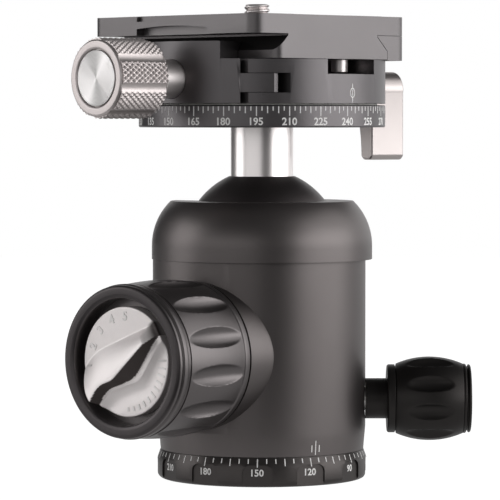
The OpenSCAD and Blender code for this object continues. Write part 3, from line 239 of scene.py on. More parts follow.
def turned_metal(name, dark, light, rough, axis, pitch=0.12, bump=0.004, metallic=1.0, spread=0.08):
    """Metal off the lathe: lines round its axis in its colour, roughness and height."""
    f = Finish(name)
    lines = f.lathe_lines(axis, pitch)
    cloud = f.noise(6, 2)
    tone = f.mix(lines * 0.6 + cloud * 0.4, dark, light)
    roughness = f.between(lines, rough - spread / 2, rough + spread / 2)
    return f.surface(tone, roughness, metallic, lines, bump)


def knob_metal(name):
    """Lathe lines round the main knob's axis. The ring round its front takes a deeper black, a
    darker copy of the knob's colour: painted shade that holds back the light on that face.
    """
    ring_from, ring_to = 53.45 * MM, 53.8 * MM
    f = Finish(name)
    _, _, z = f.axis_place(MAIN_AXIS)
    lines = f.lathe_lines(MAIN_AXIS, 0.18)
    side = f.mix(lines, (0.112, 0.102, 0.102), (0.146, 0.134, 0.134))
    # Painted shade: the front ring's tone is a darker copy of the side's.
    ring = f.mix(lines, (0.058, 0.052, 0.053), (0.074, 0.067, 0.068))
    tone = f.mix(f.step(z, ring_from, ring_to), side, ring)
    return f.surface(tone, f.between(lines, 0.34, 0.42), 0.92, lines, 0.005)


def moulded(name, dark, light, rough, grain=0.4, bump=0.01):
    """Plastic, rubber or paint: a fine texture and a faint cloud in its colour."""
    f = Finish(name)
    skin = f.noise(grain, 3)
    tone = f.mix(f.noise(5, 2), dark, light)
    return f.surface(tone, f.between(skin, rough - 0.06, rough + 0.06), 0.0, skin, bump)


def milled(name, dark, light, rough, turn):
    """Milled and anodised plate: fine lines along the dovetail, under a blasted grain."""
    f = Finish(name)
    x, y, z = f.turned_place((0, 0, np.radians(turn)))
    at = f.node("ShaderNodeCombineXYZ", None, {0: x * 0.04, 1: y, 2: z})
    lines = f.noise(0.22, 2, at)
    pits = f.noise(0.15, 2)
    tone = f.mix(lines * 0.5 + f.noise(8, 2) * 0.5, dark, light)
    return f.surface(tone, f.between(lines, rough - 0.03, rough + 0.05), 0.95,
                     lines * 0.6 + pits * 0.4, 0.005)


def spun(name, dark, light, rough, axis):
    """Spun disc: circles round its axis, and a painted highlight in its colour: a fan of tone round
    its centre, light to both sides, standing in for the sheen of the spun circles.
    The fan is the square of the place across over the square of the distance."""
    f = Finish(name)
    lines = f.lathe_lines(axis, 0.1)
    x, y, _ = f.axis_place(axis)
    across = x + y * 0.15
    # Painted highlight: the fan lightens the colour to both sides of the centre, as the spun sheen
    # would.
    painted_sheen = f.step(across * across * (x * x + y * y + 1e-8) ** -1, -0.12, 0.5)
    tone = f.mix(painted_sheen * 0.85 + lines * 0.15, dark, light)
    return f.surface(tone, f.between(lines, rough, rough + 0.1), 1.0, lines, 0.004)


def dial_metal(name):
    """Cast and tumbled dial: fine pits, and near-black painted shade where the dial's shade
    attribute says so: on the ridge's steep wall and in the recess at its tip.
    """
    f = Finish(name)
    pits = f.noise(0.25, 3)
    silver = f.mix(pits * 0.5 + f.noise(4, 2) * 0.5, (0.82, 0.77, 0.76), (0.93, 0.88, 0.87))
    # Painted shade: near black on the ridge's steep wall and in the recess at its tip, where the
    # attribute says so.
    painted_shade = f.node("ShaderNodeAttribute", {"attribute_name": "painted_shade"}, out="Fac")
    shade_tone = f.mix(pits, (0.035, 0.026, 0.024), (0.06, 0.045, 0.042))
    return f.surface(f.mix(painted_shade, silver, shade_tone), f.between(pits, 0.42, 0.54) + painted_shade * 0.1,
                     0.55 - painted_shade * 0.5, pits, 0.012)


# Grain, bump and metallic share of the blasted silver finishes
SILVER = (0.2, 0.004, 1.0)

# Name, kind, darker and lighter tone, roughness, and what else the kind takes. First the record's
# slots, then the finishes that single pieces have in place of their slot's.
FINISHES = {name: kind(name, *numbers) for name, kind, *numbers in (
    ("body_anodised", blasted, (0.114, 0.102, 0.101), (0.132, 0.120, 0.118), 0.40),
    ("knob_anodised", knob_metal),
    ("ball_anodised", blasted, (0.094, 0.084, 0.084), (0.110, 0.100, 0.100), 0.42, 0.2, 0.003),
    ("clamp_anodised", blasted, (0.116, 0.109, 0.112), (0.140, 0.131, 0.134), 0.40),
    ("plate_anodised", milled, (0.134, 0.126, 0.127), (0.158, 0.148, 0.150), 0.42, CLAMP_TURN),
    ("satin_silver", blasted, (0.40, 0.365, 0.356), (0.46, 0.42, 0.41), 0.36, *SILVER),
    # The spun inlay's colour carries a painted highlight, a fan of tone round its centre.
    ("spun_silver", spun, (0.31, 0.305, 0.30), (0.78, 0.757, 0.75), 0.30, CLAMP_AXIS),
    ("steel", turned_metal, (0.42, 0.41, 0.40), (0.52, 0.51, 0.50), 0.30, UPRIGHT),
    ("black_steel", turned_metal, (0.03, 0.03, 0.03), (0.05, 0.05, 0.05), 0.4, UPRIGHT),
    ("chrome", turned_metal, (0.74, 0.73, 0.72), (0.80, 0.79, 0.78), 0.12, UPRIGHT,
     0.2, 0.001, 1.0, 0.04),
    ("brass", turned_metal, (0.52, 0.37, 0.14), (0.62, 0.46, 0.2), 0.32, UPRIGHT),
    ("nylon", moulded, (0.62, 0.61, 0.57), (0.70, 0.69, 0.65), 0.5),
    ("acetal", moulded, (0.58, 0.56, 0.49), (0.66, 0.64, 0.56), 0.4),
    ("rubber", moulded, (0.018, 0.018, 0.018), (0.03, 0.03, 0.03), 0.75, 0.3, 0.03),
    ("neck_satin", turned_metal, (0.80, 0.755, 0.745), (0.88, 0.84, 0.83), 0.31, UPRIGHT,
     0.15, 0.002, 1.0, 0.06),
    ("pan_knob_anodised", turned_metal, (0.026, 0.024, 0.023), (0.038, 0.035, 0.034), 0.44,
     PAN_AXIS, 0.18, 0.004, 0.92),
    ("dial_metal", dial_metal),
    # Painted shade: the base ring takes a darker copy of the body's anodise, for the shade it
    # stands in low down.
    ("base_anodised", blasted, (0.054, 0.049, 0.048), (0.066, 0.060, 0.058), 0.38),
    ("knob_silver", blasted, (0.50, 0.455, 0.447), (0.60, 0.552, 0.542), 0.46, *SILVER),
    ("bright_silver", blasted, (0.76, 0.71, 0.70), (0.86, 0.81, 0.80), 0.44, *SILVER),
    ("scale_paint", moulded, (0.88, 0.865, 0.85), (0.95, 0.935, 0.92), 0.6, 0.2, 0.004),
    # Painted shade: the dial's raised marks take a darker copy of its silver, for the shade round
    # their edges.
    ("raised_silver", blasted, (0.70, 0.67, 0.66), (0.80, 0.77, 0.76), 0.4, 0.2, 0.004, 0.5),
)}


# ---- Pieces ----

def shade(mesh, smooth_angle):
    """Smooth shading, with a sharp edge wherever two faces meet at more than smooth_angle
    degrees."""
    mesh.shade_smooth()
    work = bmesh.new()
    work.from_mesh(mesh)
    limit = float(np.radians(smooth_angle))
    for edge in work.edges:
        edge.smooth = len(edge.link_faces) == 2 and edge.calc_face_angle(0) < limit
    work.to_mesh(mesh)
    work.free()


def add_piece(name, mesh, body, slot, finish, replaced):
    """Puts a mesh into the scene, in a named finish or else its slot's own."""
    piece = bpy.data.objects.new(name, mesh)
    bpy.context.collection.objects.link(piece)
    mesh.materials.clear()
    mesh.materials.append(FINISHES[finish or slot])
    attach(piece, body)
    if replaced:
        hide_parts(*replaced)
    return piece


def make_piece(name, shape, body, slot, finish=None, smooth_angle=32, replaced=(), attribute=None):
    """A mesh piece from the vertices and faces of a shape in millimetres. Points that meet are
    merged, so poles and seams are closed. An attribute is a name and one number for each vertex."""
    vertices, faces = shape
    mesh = bpy.data.meshes.new(name)
    faces = [list(map(int, face)) for face in faces]
    mesh.from_pydata((np.asarray(vertices) * MM).tolist(), [], faces)
    if attribute:
        layer = mesh.attributes.new(attribute[0], "FLOAT", "POINT")
        layer.data.foreach_set("value", attribute[1].ravel())
    work = bmesh.new()
    work.from_mesh(mesh)
    bmesh.ops.remove_doubles(work, verts=work.verts, dist=1e-7)
    bmesh.ops.dissolve_degenerate(work, edges=work.edges, dist=1e-8)
    work.to_mesh(mesh)
    work.free()
    shade(mesh, smooth_angle)
    add_piece(name, mesh, body, slot, finish, replaced)


def softened(node, width, body, slot, finish=None):
    """A copy of a CAD node with its edges rounded: its loose triangles are merged, flat ones
    joined, and every sharp edge is bevelled."""
    sharp = 35
    mesh = frame["nodes"][node].data.copy()
    mesh.name = "soft_" + node
    work = bmesh.new()
    work.from_mesh(mesh)
    bmesh.ops.remove_doubles(work, verts=work.verts, dist=2e-6)
    bmesh.ops.dissolve_limit(work, angle_limit=np.radians(0.6), verts=work.verts, edges=work.edges)
    work.to_mesh(mesh)
    work.free()
    piece = add_piece("soft_" + node, mesh, body, slot, finish, (node,))
    shade(mesh, sharp)
    bevel = piece.modifiers.new("edges", "BEVEL")
    bevel.width, bevel.segments, bevel.limit_method = width * MM, 3, "ANGLE"
    bevel.angle_limit = np.radians(sharp)
    bevel.use_clamp_overlap, bevel.miter_outer, bevel.harden_normals = True, "MITER_ARC", True


# ---- Surfaces ----

def grid_faces(rows, columns, closed_rows=False):
    """Quads of a grid whose columns close into a ring, and whose last row may join its first."""
    last = rows if closed_rows else rows - 1
    i, j = np.meshgrid(np.arange(last), np.arange(columns), indexing="ij")
    k, n = (j + 1) % columns, (i + 1) % rows
    quads = [i * columns + j, i * columns + k, n * columns + k, n * columns + j]
    return np.stack(quads, -1).reshape(-1, 4)


def together(*shapes):
    """Several shapes as one: faces are renumbered past the vertices before them."""
    vertices, faces, count = [], [], 0
    for points, quads in shapes:
        points = np.asarray(points, float).reshape(-1, 3)
        vertices.append(points)
        faces.extend([[int(v) + count for v in face] for face in quads])
        count += len(points)
    return np.concatenate(vertices), faces


def on_level_axis(shape, turn, height):
    """Carries a shape whose Z runs along a level axis to that axis: Z goes to the front turned by
    turn degrees towards the left, Y goes up, and the axis lies at the given height."""
    points, faces = shape
    a = np.radians(turn)
    x, y, z = points[..., 0], points[..., 1], points[..., 2]
    placed = [x * np.cos(a) - z * np.sin(a), -x * np.sin(a) - z * np.cos(a), y + height]
    return np.stack(placed, -1), faces


def along_dovetail(shape, shift):
    """Turns a shape whose X runs along the dovetail to the clamp's turn, after a shift along it."""
    points, faces = shape
    a = np.radians(-CLAMP_TURN)
    x, y = points[..., 0] + shift, points[..., 1]
    placed = [x * np.cos(a) - y * np.sin(a), x * np.sin(a) + y * np.cos(a), points[..., 2]]
    return np.stack(placed, -1), faces


def rounded_profile(*corners, steps=4):
    """Points (radius, along) through corners (radius, along, round). Each corner is cut by a
    parabola that starts round millimetres before it, or half an edge before it where that is
    shorter."""
    corners = [np.array(c if len(c) == 3 else (*c, 0), float) for c in corners]
    out = [corners[0][None, :2]]
    t = np.linspace(0, 1, steps + 1)[:, None]
    for before, here, after in zip(corners, corners[1:], corners[2:]):
        a, b = before[:2] - here[:2], after[:2] - here[:2]
        reach = min(here[2], 0.49 * np.hypot(*a), 0.49 * np.hypot(*b))
        if reach > 0:
            a, b = a / np.hypot(*a) * reach, b / np.hypot(*b) * reach
            out.append(here[:2] + a * (1 - t) ** 2 + b * t ** 2)
        else:
            out.append(here[None, :2])
    out.append(corners[-1][None, :2])
    return np.concatenate(out)


def turned(profile, columns, radius_of=None, closed=False):
    """A profile of (radius, along) turned round Z. The profile climbs on its outside, so faces
    point out. radius_of(radius, along, angle) may change the radius over the surface."""
    angle = np.linspace(0, TAU, columns, endpoint=False)[None, :]
    r, z = profile[:, :1] + 0 * angle, profile[:, 1:] + 0 * angle
    if radius_of:
        r = radius_of(r, z, angle + 0 * r)
    points = np.stack([r * np.cos(angle), r * np.sin(angle), z], -1)
    return points.reshape(-1, 3), grid_faces(len(profile), columns, closed)


def prism(outline, low, high):
    """An outline of (x, y), counterclockwise, carried straight up from low to high."""
    n = len(outline)
    points = np.concatenate([np.column_stack([outline, np.full(n, z)]) for z in (low, high)])
    sides = [[i, (i + 1) % n, n + (i + 1) % n, n + i] for i in range(n)]
    return points, [*sides, list(range(n))[::-1], list(range(n, 2 * n))]


def eased(x):
    """0 below 0, 1 above 1, and smooth between: three squares less two cubes."""
    x = np.clip(x, 0, 1)
    return x * x * (3 - 2 * x)


def smooth_min(a, b, width):
    """The smaller of a and b, less h * h * width / 4, where h falls from 1 to 0 as they part by
    width."""
    h = np.clip(1 - np.abs(a - b) / width, 0, 1)
    return np.minimum(a, b) - h * h * width / 4


def zigzag(turns):
    """A wave that climbs from 0 to 1 and back over each whole turn."""
    return 1 - np.abs(2 * (turns % 1) - 1)


def crowned(top, drop, half, along):
    """Radius of a barrel: an arc that is top in the middle and drop less at half a length from
    it."""
    arc = (half ** 2 + drop ** 2) / (2 * drop)
    return top - arc + np.sqrt(arc ** 2 - np.clip(along, -half, half) ** 2)


def flute_floor(angle, along, count, first, top, depth, cutter, sag=0, half=1):
    """Radius at which a ray from the axis meets the nearest of count round cutters: c cos d minus
    the root of p squared less (c sin d) squared. d is the angle from the cutter's middle, c its
    distance, and its radius p shrinks by sag at half a length away."""
    pitch = TAU / count
    d = (angle - first + pitch / 2) % pitch - pitch / 2
    c = top - depth + cutter
    p = cutter - (sag - crowned(sag, sag, half, along)) if sag else cutter
    under = p ** 2 - (c * np.sin(d)) ** 2
    floor = c * np.cos(d) - np.sqrt(np.maximum(under, 0))
    return np.where((under > 0) & (p > 0), floor, 2 * top)


# ---- Main knob ----

def main_knob():
    """A profile turned round the knob's axis: a flange, the barrel of the grip, a ring and the
    dial's seat. Round cutters sink flutes into the barrel."""
    rear, front, seat, floor_z = 27.15, 54.0, 48, 40
    mid, half, grip_r, waist_r, bore_r = 39.75, 9.85, 19.25, 18.35, 4.02
    flutes, columns_each = 13, 50
    along = np.linspace(-half, half, 76)
    barrel = np.stack([crowned(grip_r, 0.6, half, along), mid + along], -1)
    back = rounded_profile(
        (14, rear), (18.15, rear, 0.2), (18.5, rear + 0.35, 0.3), (18.6, rear + 2.0, 0.3),
        (18.3, rear + 2.35, 0.2), (waist_r, mid - half - 0.05))
    lead = rounded_profile(
        (waist_r, mid + half + 0.05), (18.15, front - 3.95, 0.15), (18.2, front - 3.6, 0.1),
        (18.75, front - 3.1, 0.35), (18.75, front - 1.75, 0.3), (18.15, front - 1.45, 0.1),
        (18.15, front - 1.15, 0.1), (18.5, front - 0.95, 0.15), (18.45, front - 0.4, 0.35),
        (17.85, front, 0.5), (16.2, front - 0.02, 0.3), (15.45, front - 0.3, 0.35),
        (15.3, front - 1.2, 0.3), (15.3, seat), steps=5)
    inside = rounded_profile(
        (13.8, seat), (13.8, seat - 3, 0.1), (bore_r, seat - 3), (bore_r, floor_z),
        (14, floor_z, 0.2), (14, rear + 0.01))

    def fluted(r, z, angle):
        """The barrel's radius, or the floor of the nearest flute where that is less."""
        floor = flute_floor(angle, z - 39.4, flutes, first=np.radians(-9.4), top=grip_r, depth=1.45,
                            cutter=3.4, sag=0.85, half=9.9)
        on_grip = (np.abs(z - mid) <= half) & (r > waist_r + 0.05)
        return np.where(on_grip, smooth_min(r, floor, 0.1), r)

    profile = np.concatenate([back, barrel, lead, inside])
    shape = turned(profile, flutes * columns_each, fluted, closed=True)
    make_piece("main_knob", on_level_axis(shape, MAIN_TURN, MAIN_Z), "main_knob", "knob_anodised",
               replaced=("main_knob_grip",))


# ---- Friction dial ----
DIAL_FACE, DIAL_R, DIAL_EDGE, DIAL_DEPTH = 52.3, 13.3, 0.35, 2.8
RIDGE_TILT = np.radians(43)
RIDGE_TOP, LEDGE = 3.3, 0.7


def ridge_height(x, y):
    """Height of the dial, and its share of painted shade: near black on the steep wall, and painted
    shadow in the recess at the ridge's tip. Along the ridge a, and square to it t: a gentle flank
    climbs from a bent line to the crest, a steep wall drops to its foot, and past a ledge the face
    falls into a shallow bowl."""
    a = x * np.cos(RIDGE_TILT) + y * np.sin(RIDGE_TILT)
    t = y * np.cos(RIDGE_TILT) - x * np.sin(RIDGE_TILT)
    crest = -2.05 + 1.55 * eased((-a - 3.2) / 5.5) - 0.7 * eased((-a - 9.5) / 4)
    spread = np.where(a > 0.3, 5.5, 3.2)
    wall = 1.45 + 1.45 * np.exp(-((a - 0.3) / spread) ** 2) - 0.8 * eased((a - 5) / 8)
    line = smooth_min(5.86 - 0.387 * a, 8.9 + 0.15 * a, 1.6)
    top = RIDGE_TOP * (1 - 0.8 * eased((a - 8.6) / 4.6))
    up = np.clip((line - t) / (line - crest), 0, 1)
    down = np.clip((crest - t) / wall, 0, 1)
    bowl = np.clip(crest - wall - t - (0.65 + 0.8 * eased((a + 4) / 6)), 0, None)
    beyond = LEDGE - 1.4 * (1 - np.exp(-bowl / 1.3)) + 0.6 * eased(bowl / 6)
    flank = top * (1 - (1 - up) ** 1.6)
    drop = top + (LEDGE - top) * down
    height = np.where(t >= crest, flank, np.where(down < 1, drop, beyond))
    # Painted shade marks the steep wall, and painted shadow the recess at the ridge's tip.
    on_wall = down < 0.97
    tip_shadow = eased((a - 10.2) / 2.2) * eased((2.2 - t) / 1.2)
    return height, np.maximum(t < crest - 0.03, tip_shadow) * on_wall


def friction_dial():
    """A round plate whose top is the ridge's height, less a quarter circle's fall at its rim."""
    inner = DIAL_R - DIAL_EDGE
    rim = inner + DIAL_EDGE * np.sin(np.linspace(0.25, 1, 4) * np.pi / 2)
    rho = np.concatenate([np.linspace(0, inner, 78), rim])[:, None]
    columns = 480
    angle = np.linspace(0, TAU, columns, endpoint=False)[None, :]
    x, y = rho * np.cos(angle), rho * np.sin(angle)
    height, painted_shade = ridge_height(x, y)
    edge = np.clip((rho - inner) / DIAL_EDGE, 0, 1)
    height = height - 0.3 * (1 - np.sqrt(1 - edge ** 2))
    top = np.stack([x, y, DIAL_FACE + height], -1)[::-1]
    low = np.stack([x[-1], y[-1], np.full(columns, DIAL_FACE - DIAL_DEPTH)], -1)[None]
    under = np.stack([x[:1], y[:1], np.full((1, columns), DIAL_FACE - DIAL_DEPTH)], -1)
    points = np.concatenate([under, low, top])
    # Each vertex's share of painted shade; none underneath.
    marks = np.concatenate([0 * painted_shade[:2], painted_shade[::-1]])
    shape = points.reshape(-1, 3), grid_faces(len(points), columns)
    make_piece("dial_plate", on_level_axis(shape, MAIN_TURN, MAIN_Z), "friction_dial",
               "satin_silver", "dial_metal", 50, ("friction_dial",), ("painted_shade", marks))


# ---- Pan knob ----

def pan_knob():
    """A profile turned round the knob's axis: a flange, the barrel of the grip, a groove and a ring
    round the cap's seat. Round cutters sink flutes into the barrel."""
    rear, front = 31.5, 52.6
    mid, half, grip_r, bore_r = 42.2, 8.4, 10.55, 3.02
    end, seat, bore_end = mid + half, front - 0.9, rear + 15
    flutes, columns_each = 9, 44
    along = np.linspace(-half, half, 64)
    barrel = np.stack([crowned(grip_r, 1.75, half, along), mid + along], -1)
    back = rounded_profile(
        (bore_r, rear), (8.35, rear, 0.2), (8.6, rear + 0.35, 0.2), (8.6, rear + 1.95, 0.15),
        (8.15, rear + 2.05, 0.05), (8.15, mid - half - 0.02))
    lead = rounded_profile(
        (8.35, end + 0.03), (8.75, end + 0.1, 0.15), (8.75, end + 0.75, 0.3),
        (8.1, end + 0.95, 0.1), (8.1, end + 1.2, 0.1), (8.6, end + 1.35, 0.15),
        (8.6, front - 0.25, 0.2), (8.25, front, 0.2), (6.85, front), (6.85, seat), (0.0, seat))
    bore = rounded_profile((0.0, bore_end), (bore_r, bore_end), (bore_r, rear + 0.01))

    def fluted(r, z, angle):
        """The barrel's radius, or the floor of the nearest flute where that is less."""
        floor = flute_floor(angle, z - mid, flutes, first=np.radians(-85), top=grip_r, depth=1.3,
                            cutter=2.6, sag=0.9, half=8.0)
        on_grip = (np.abs(z - mid) <= half) & (r > 8.3)
        return np.where(on_grip, smooth_min(r, floor, 0.2), r)

    profile = np.concatenate([back, barrel, lead, bore])
    shape = turned(profile, flutes * columns_each, fluted, closed=True)
    make_piece("pan_knob", on_level_axis(shape, PAN_TURN, PAN_Z), "pan_knob", "knob_anodised",
               "pan_knob_anodised", replaced=("pan_knob_grip",))


# ---- Clamp knob ----

def clamp_knob():
    """A turned profile whose land is knurled, with a seat for the inlay in its front."""
    rear, front, top, bore_r = 39.9, 55.4, 9.8, 2.52
    land_from, land_to = rear + 0.6, front - 0.65
    seat, bore_end = front - 0.9, rear + 11.5
    teeth, tooth_length, tooth_depth = 48, 1.8, 0.4
    rows = np.linspace(land_from, land_to, 76)
    land = np.stack([np.full(len(rows), top), rows], -1)
    back = rounded_profile(
        (bore_r, rear), (8.9, rear, 0.3), (9.3, rear + 0.35, 0.25), (9.3, rear + 0.55))
    lead = rounded_profile(
        (9.2, land_to + 0.05), (9.2, land_to + 0.15, 0.05), (9.3, land_to + 0.3, 0.05),
        (8.95, front, 0.55), (7.4, front, 0.35), (7.0, front - 0.25, 0.15), (7.0, seat), (0, seat),
        steps=6)
    bore = rounded_profile((0, bore_end), (bore_r, bore_end), (bore_r, rear + 0.01))

    def knurled(r, z, angle):
        """Two crossing sets of V grooves leave pyramids; eight round grooves are cut over them."""
        around, along = teeth * angle / TAU, (z - land_from) / tooth_length
        tooth = np.minimum(zigzag(around + along), zigzag(around - along))
        crest = top - tooth_depth * (1 - np.clip(tooth * 1.15, 0, 1))
        floor = flute_floor(angle, z, 8, first=np.radians(31), top=top, depth=0.62, cutter=2.7)
        on_land = (z > land_from - 0.01) & (z < land_to + 0.01) & (r > top - 0.1)
        return np.where(on_land, smooth_min(crest, floor, 0.08), r)

    shape = turned(np.concatenate([back, land, lead, bore]), 480, knurled, closed=True)
    make_piece("knurled_knob", on_level_axis(shape, CLAMP_TURN, CLAMP_Z), "clamp_knob",
               "satin_silver", "knob_silver", 42, replaced=("clamp_knob",))


def clamp_knob_inlay():
    """A disc turned with fine circles: its height is a sine of the distance from its centre."""
    under, face_at, circle_pitch, circle_depth = 54.5, 55.25, 0.3, 0.018
    r = np.linspace(6.55, 0, 180)
    face = np.stack([r, face_at + circle_depth * np.sin(TAU * r / circle_pitch)], -1)
    rim = rounded_profile(
        (0, under), (6.8, under), (6.8, 55.2, 0.1), (6.65, 55.28, 0.05), (6.56, face_at))
    shape = turned(np.concatenate([rim, face]), 120)
    make_piece("spun_inlay", on_level_axis(shape, CLAMP_TURN, CLAMP_Z), "clamp_knob", "spun_silver",
               smooth_angle=70, replaced=("clamp_knob_inlay",))


# ---- Camera screw ----

def camera_screw():
    """A flange, a threaded shank above it, and the two half rounds of a slotted head under it."""
    seat, thread, top, major, pitch = 109.946, 116.096, 119.096, 3.175, 1.27
    flange_r, thread_depth, from_middle = 7.6, 0.58, -1.8
    profile = np.concatenate([
        rounded_profile((0, seat - 2.2), (7.3, seat - 2.2, 0.2), (flange_r, seat - 1.9, 0.2),
                        (flange_r, seat - 0.3, 0.2), (7.3, seat, 0.2), (2.6, seat), (2.6, thread)),
        np.stack([np.full(46, major), np.linspace(thread + 0.01, top - 0.35, 46)], -1),
        rounded_profile((major - 0.25, top - 0.2), (major - 0.6, top, 0.1), (0, top))])

    def threaded(r, z, angle):
        """A ridge that winds up round the screw: its place along is the pitch times the share of
        a turn."""
        ridge = np.clip(1.25 * zigzag(z / pitch - angle / TAU), 0, 1)
        ease = np.clip((z - thread) / 0.5, 0, 1)
        return np.where(r > major - 0.02, major - thread_depth * (1 - ridge * ease), r)

    arc = np.radians(np.linspace(7, 173, 40))
    half = np.column_stack([flange_r * np.cos(arc), flange_r * np.sin(arc)])
    halves = [prism(half * side, seat - 3.6, seat - 2.19) for side in (1, -1)]
    shape = together(turned(profile, 72, threaded), *halves)
    make_piece("threaded_camera_screw", along_dovetail(shape, from_middle), "camera_screw",
               "chrome", "bright_silver", 40, replaced=("camera_screw",))


# ---- Scales ----
PAINT = 0.025
TICK = 0.26
FRONT = -np.pi / 2


def number(text, height):
    """A number's outline made a mesh, height millimetres high, centred, PAINT thick each way."""
    font = bpy.data.curves.new("number", "FONT")
    font.body, font.align_x, font.resolution_u = text, "CENTER", 3
    font.extrude, font.offset = 0.05, 0.024
    holder = bpy.data.objects.new("number", font)
    bpy.context.collection.objects.link(holder)
    bpy.context.view_layer.update()
    outlined = holder.evaluated_get(bpy.context.evaluated_depsgraph_get())
    mesh = bpy.data.meshes.new_from_object(outlined)
    points = np.zeros(len(mesh.vertices) * 3)
    mesh.vertices.foreach_get("co", points)
    points = points.reshape(-1, 3)
    faces = [list(face.vertices) for face in mesh.polygons]
    bpy.data.objects.remove(holder)
    bpy.data.curves.remove(font)
    bpy.data.meshes.remove(mesh)
    low, high = points.min(0), points.max(0)
    scale = height / (high[1] - low[1])
    points[:, :2] = (points[:, :2] - (low[:2] + high[:2]) / 2) * scale
    points[:, 2] = np.sign(points[:, 2]) * PAINT
    return points, faces


def bar(width, low, high):
    """A flat bar from low to high, width across and PAINT thick each way."""
    x = width / 2
    return prism(np.array([[-x, low], [x, low], [x, high], [-x, high]]), -PAINT, PAINT)


def wrapped(shape, angle, height, radius_at):
    """Bends a flat shape round the upright axis: across becomes an angle, up stays up, and
    thickness goes outwards from the radius at that height."""
    points, faces = shape
    z = points[:, 1] + height
    r = radius_at(z)
    a = angle + points[:, 0] / r
    out = r + points[:, 2]
    return np.stack([out * np.cos(a), out * np.sin(a), z], -1), faces


def on_flat(shape, angle, distance, height):
    """Stands a flat shape on an upright plane at a distance from the axis."""
    points, faces = shape
    out, x = distance + points[:, 2], points[:, 0]
    placed = [out * np.cos(angle) - x * np.sin(angle), out * np.sin(angle) + x * np.cos(angle),
              points[:, 1] + height]
    return np.stack(placed, -1), faces


def disc_rim(z):
    """The disc and the clamp over it have one upright side."""
    return 31.0 + 0 * z


def base_rim(z):
    """The base's side leans in above its numbers."""
    return 26.4 - 0.8 * np.clip((z - 5.1) / 2.2, 0, 1)


def skirt(z):
    """The body's skirt widens as it rises."""
    return 25.6 + 0.5 * np.clip((z - 7.4) / 5.6, 0, 1)


def ticks(angles, lengths, top, radius_at):
    """Bars hanging from a top edge, one at each angle."""
    return [wrapped(bar(TICK, -length, 0), FRONT + angle, top, radius_at)
            for angle, length in zip(angles, lengths)]


def painted(name, shapes, body):
    """Shapes as one painted piece."""
    make_piece(name, together(*shapes), body, "satin_silver", "scale_paint")


def scales():
    """The disc has a tick each 2.5 degrees and a number each 15, the base a tick each 5 degrees
    and a number each 30."""
    zero = np.radians(-197.7)
    steps = np.arange(144)
    lengths = np.where(steps % 6 == 0, 2.35, np.where(steps % 2 == 0, 1.65, 1.05))
    numbers = [wrapped(number(str(n), 1.9), FRONT + (zero + np.radians(n)), 89.7, disc_rim)
               for n in range(0, 360, 15)]
    disc_ticks = ticks(zero + np.radians(2.5 * steps), lengths, 93.35, disc_rim)
    painted("disc_scale", disc_ticks + numbers, "ball")
    zero = np.radians(150 - 2.65)
    steps = np.arange(72)
    lengths = np.where(steps % 6 == 0, 2.0, np.where(steps % 3 == 0, 1.7, 1.1))
    painted("base_scale", ticks(zero - np.radians(5 * steps), lengths, 7.0, base_rim), "base")
    painted("base_numbers", [on_flat(number(str(n), 1.75), FRONT + zero - np.radians(n), 25.75, 3.6)
                             for n in range(0, 360, 30)], "base")


def index_marks():
    """Three lines on the body's skirt, and a line through a ring on the clamp."""
    lines = [wrapped(bar(0.24, low, high), FRONT + np.radians(30.6 + turn), 0, skirt)
             for turn, low, high in ((-2.35, 8.4, 10.1), (0, 7.7, 11.2), (2.35, 8.4, 10.1))]
    painted("skirt_index", lines, "body")
    section = np.array([[0.78, -PAINT], [1, -PAINT], [1, PAINT], [0.78, PAINT]])
    ring, ring_faces = turned(section, 40, closed=True)
    parts = [bar(0.24, -2.35, -1.15), bar(0.24, 1.15, 2.2), bar(0.22, -0.75, 0.75),
             (ring * [0.85, 1.25, 1], ring_faces)]
    ring_mark = [wrapped(part, FRONT + np.radians(45.5), 96.7, disc_rim) for part in parts]
    painted("clamp_index", ring_mark, "clamp")


def dial_marks():
    """Raised numbers round the upper left of the dial, and ticks that grow along its lower
    right."""
    numbers_at, ticks_at, raised = 11.0, 11.4, 4
    marks = [(number(text, 2.3), turn, numbers_at)
             for text, turn in (("1", 187), ("2", 162), ("3", 138), ("4", 114), ("5", 91))]
    marks += [(bar(0.5, -0.5 - 0.08 * i, 0.5 + 0.08 * i), turn, ticks_at)
              for i, turn in enumerate(range(-86, 8, 9))]
    placed = []
    for (points, faces), turn, rho in marks:
        a = np.radians(turn - 90)
        x = points[:, 0] * np.cos(a) - (points[:, 1] + rho) * np.sin(a)
        y = points[:, 0] * np.sin(a) + (points[:, 1] + rho) * np.cos(a)
        height, _ = ridge_height(x, y)
        placed.append((np.stack([x, y, DIAL_FACE + height + points[:, 2] * raised], -1), faces))
    # The raised marks' darker silver is painted shade round their edges.
    make_piece("dial_marks", on_level_axis(together(*placed), MAIN_TURN, MAIN_Z), "friction_dial",
               "satin_silver", "raised_silver")


# ---- Floor, backdrop and light ----

def white_to_camera(name, grey, strength, shadow_share):
    """A pale stage: the camera and mirror-like rays see plain white, mixed with its own lit
    grey."""
    f = Finish(name)
    lit = f.node("ShaderNodeBsdfDiffuse", None, {"Color": opaque((grey, grey, grey))})
    path = f.node("ShaderNodeLightPath", None, None, "Is Camera Ray")
    seen = path
    for ray in ("Is Glossy Ray", "Is Transmission Ray"):
        seen = seen.math("MAXIMUM", path.other(ray))
    glow = f.node("ShaderNodeEmission", None,
                  {"Color": opaque((1, 1, 1)), "Strength": path * (strength - 1) + 1})
    f.show(f.node("ShaderNodeMixShader", None, {0: seen * (1 - shadow_share), 1: lit, 2: glow}))
    return f.material


def stage_plane(name, corners, material):
    """A plane that shows behind or under the head and isn't part of it."""
    mesh = bpy.data.meshes.new(name)
    mesh.from_pydata(corners, [], [(0, 1, 2, 3)])
    mesh.materials.append(material)
    plane = bpy.data.objects.new(name, mesh)
    bpy.context.collection.objects.link(plane)


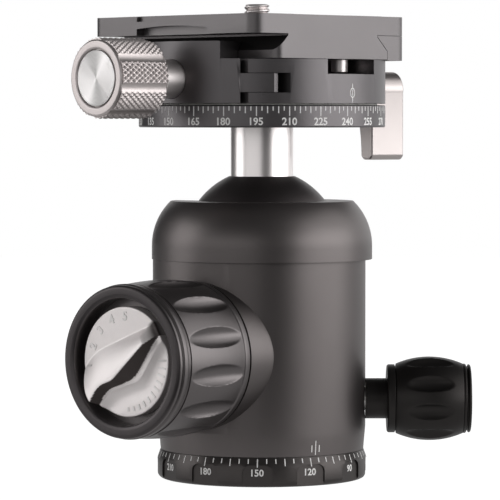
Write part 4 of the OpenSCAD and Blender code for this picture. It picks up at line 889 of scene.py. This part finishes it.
def studio():
    """A pale floor and backdrop, five soft boxes and a grey room. The floor ends a little in front
    of the head, so that the sides facing the camera don't mirror it."""
    floor = white_to_camera("floor_white", 0.5, 1.78, 0.45)
    wall = white_to_camera("backdrop_white", 0.82, 1.0, 0.0)
    x, front, back = 0.4, -0.08, 1.6
    stage_plane("floor", [(-x, front, 0), (x, front, 0), (x, back, 0), (-x, back, 0)], floor)
    x, y, top = 0.55, 1.3, 0.9
    stage_plane("backdrop", [(-x, y, 0), (x, y, 0), (x, y, top), (-x, y, top)], wall)
    for box in (("right_box", 71, 9, 1.25, 0.5, 3.2), ("right_high_box", 82, 36, 1.1, 0.4, 1.5),
                ("right_back_box", 130, 12, 0.9, 0.5, 1.05), ("left_box", -34, 7, 1.2, 0.42, 0.95),
                ("left_side_box", -91, 13, 0.6, 0.6, 2.3)):
        soft_box(*box)
    world = bpy.data.worlds.new("room")
    world.use_nodes = True
    world.node_tree.nodes["Background"].inputs["Color"].default_value = (0.10, 0.10, 0.101, 1)
    bpy.context.scene.world = world
    bpy.context.scene.view_settings.view_transform = "Standard"


# ---- The whole head ----

def dress_nodes():
    """Every CAD node takes its record slot's finish, or one of its own."""
    own = {"neck": "neck_satin", "pan_knob_neck": "pan_knob_anodised",
           "pan_knob_cap": "pan_knob_anodised"}
    for part in frame["record"]["subparts"]:
        data = frame["nodes"][part["node"]].data
        data.materials.clear()
        data.materials.append(FINISHES[own.get(part["node"], part["material_slot"])])


def soften_nodes():
    """Node, width of its edges in millimetres, body, slot, and a finish in place of the slot's."""
    for row in (
            ("housing", 0.15, "body", "body_anodised"),
            ("retaining_collar", 0.3, "body", "body_anodised"),
            ("pan_scale_disc", 0.12, "ball", "clamp_anodised"),
            ("clamp_base", 0.22, "clamp", "clamp_anodised"),
            ("movable_jaw", 0.25, "jaw", "clamp_anodised"),
            ("fixed_jaw", 0.06, "clamp", "plate_anodised"),
            ("camera_plate", 0.15, "plate", "plate_anodised"),
            ("pan_lever", 0.55, "pan_lever", "satin_silver"),
            # The base ring's finish is a darker copy of the body's: painted shade.
            ("base_ring", 0.25, "base", "body_anodised", "base_anodised"),
            ("clamp_knob_sleeve", 0.2, "clamp_knob", "satin_silver", "bright_silver"),
            ("plate_stop_screws", 0.2, "plate", "chrome", "bright_silver")):
        softened(*row)


set_camera()
dress_nodes()
soften_nodes()
main_knob()
friction_dial()
pan_knob()
clamp_knob()
clamp_knob_inlay()
camera_screw()
scales()
index_marks()
dial_marks()
studio()
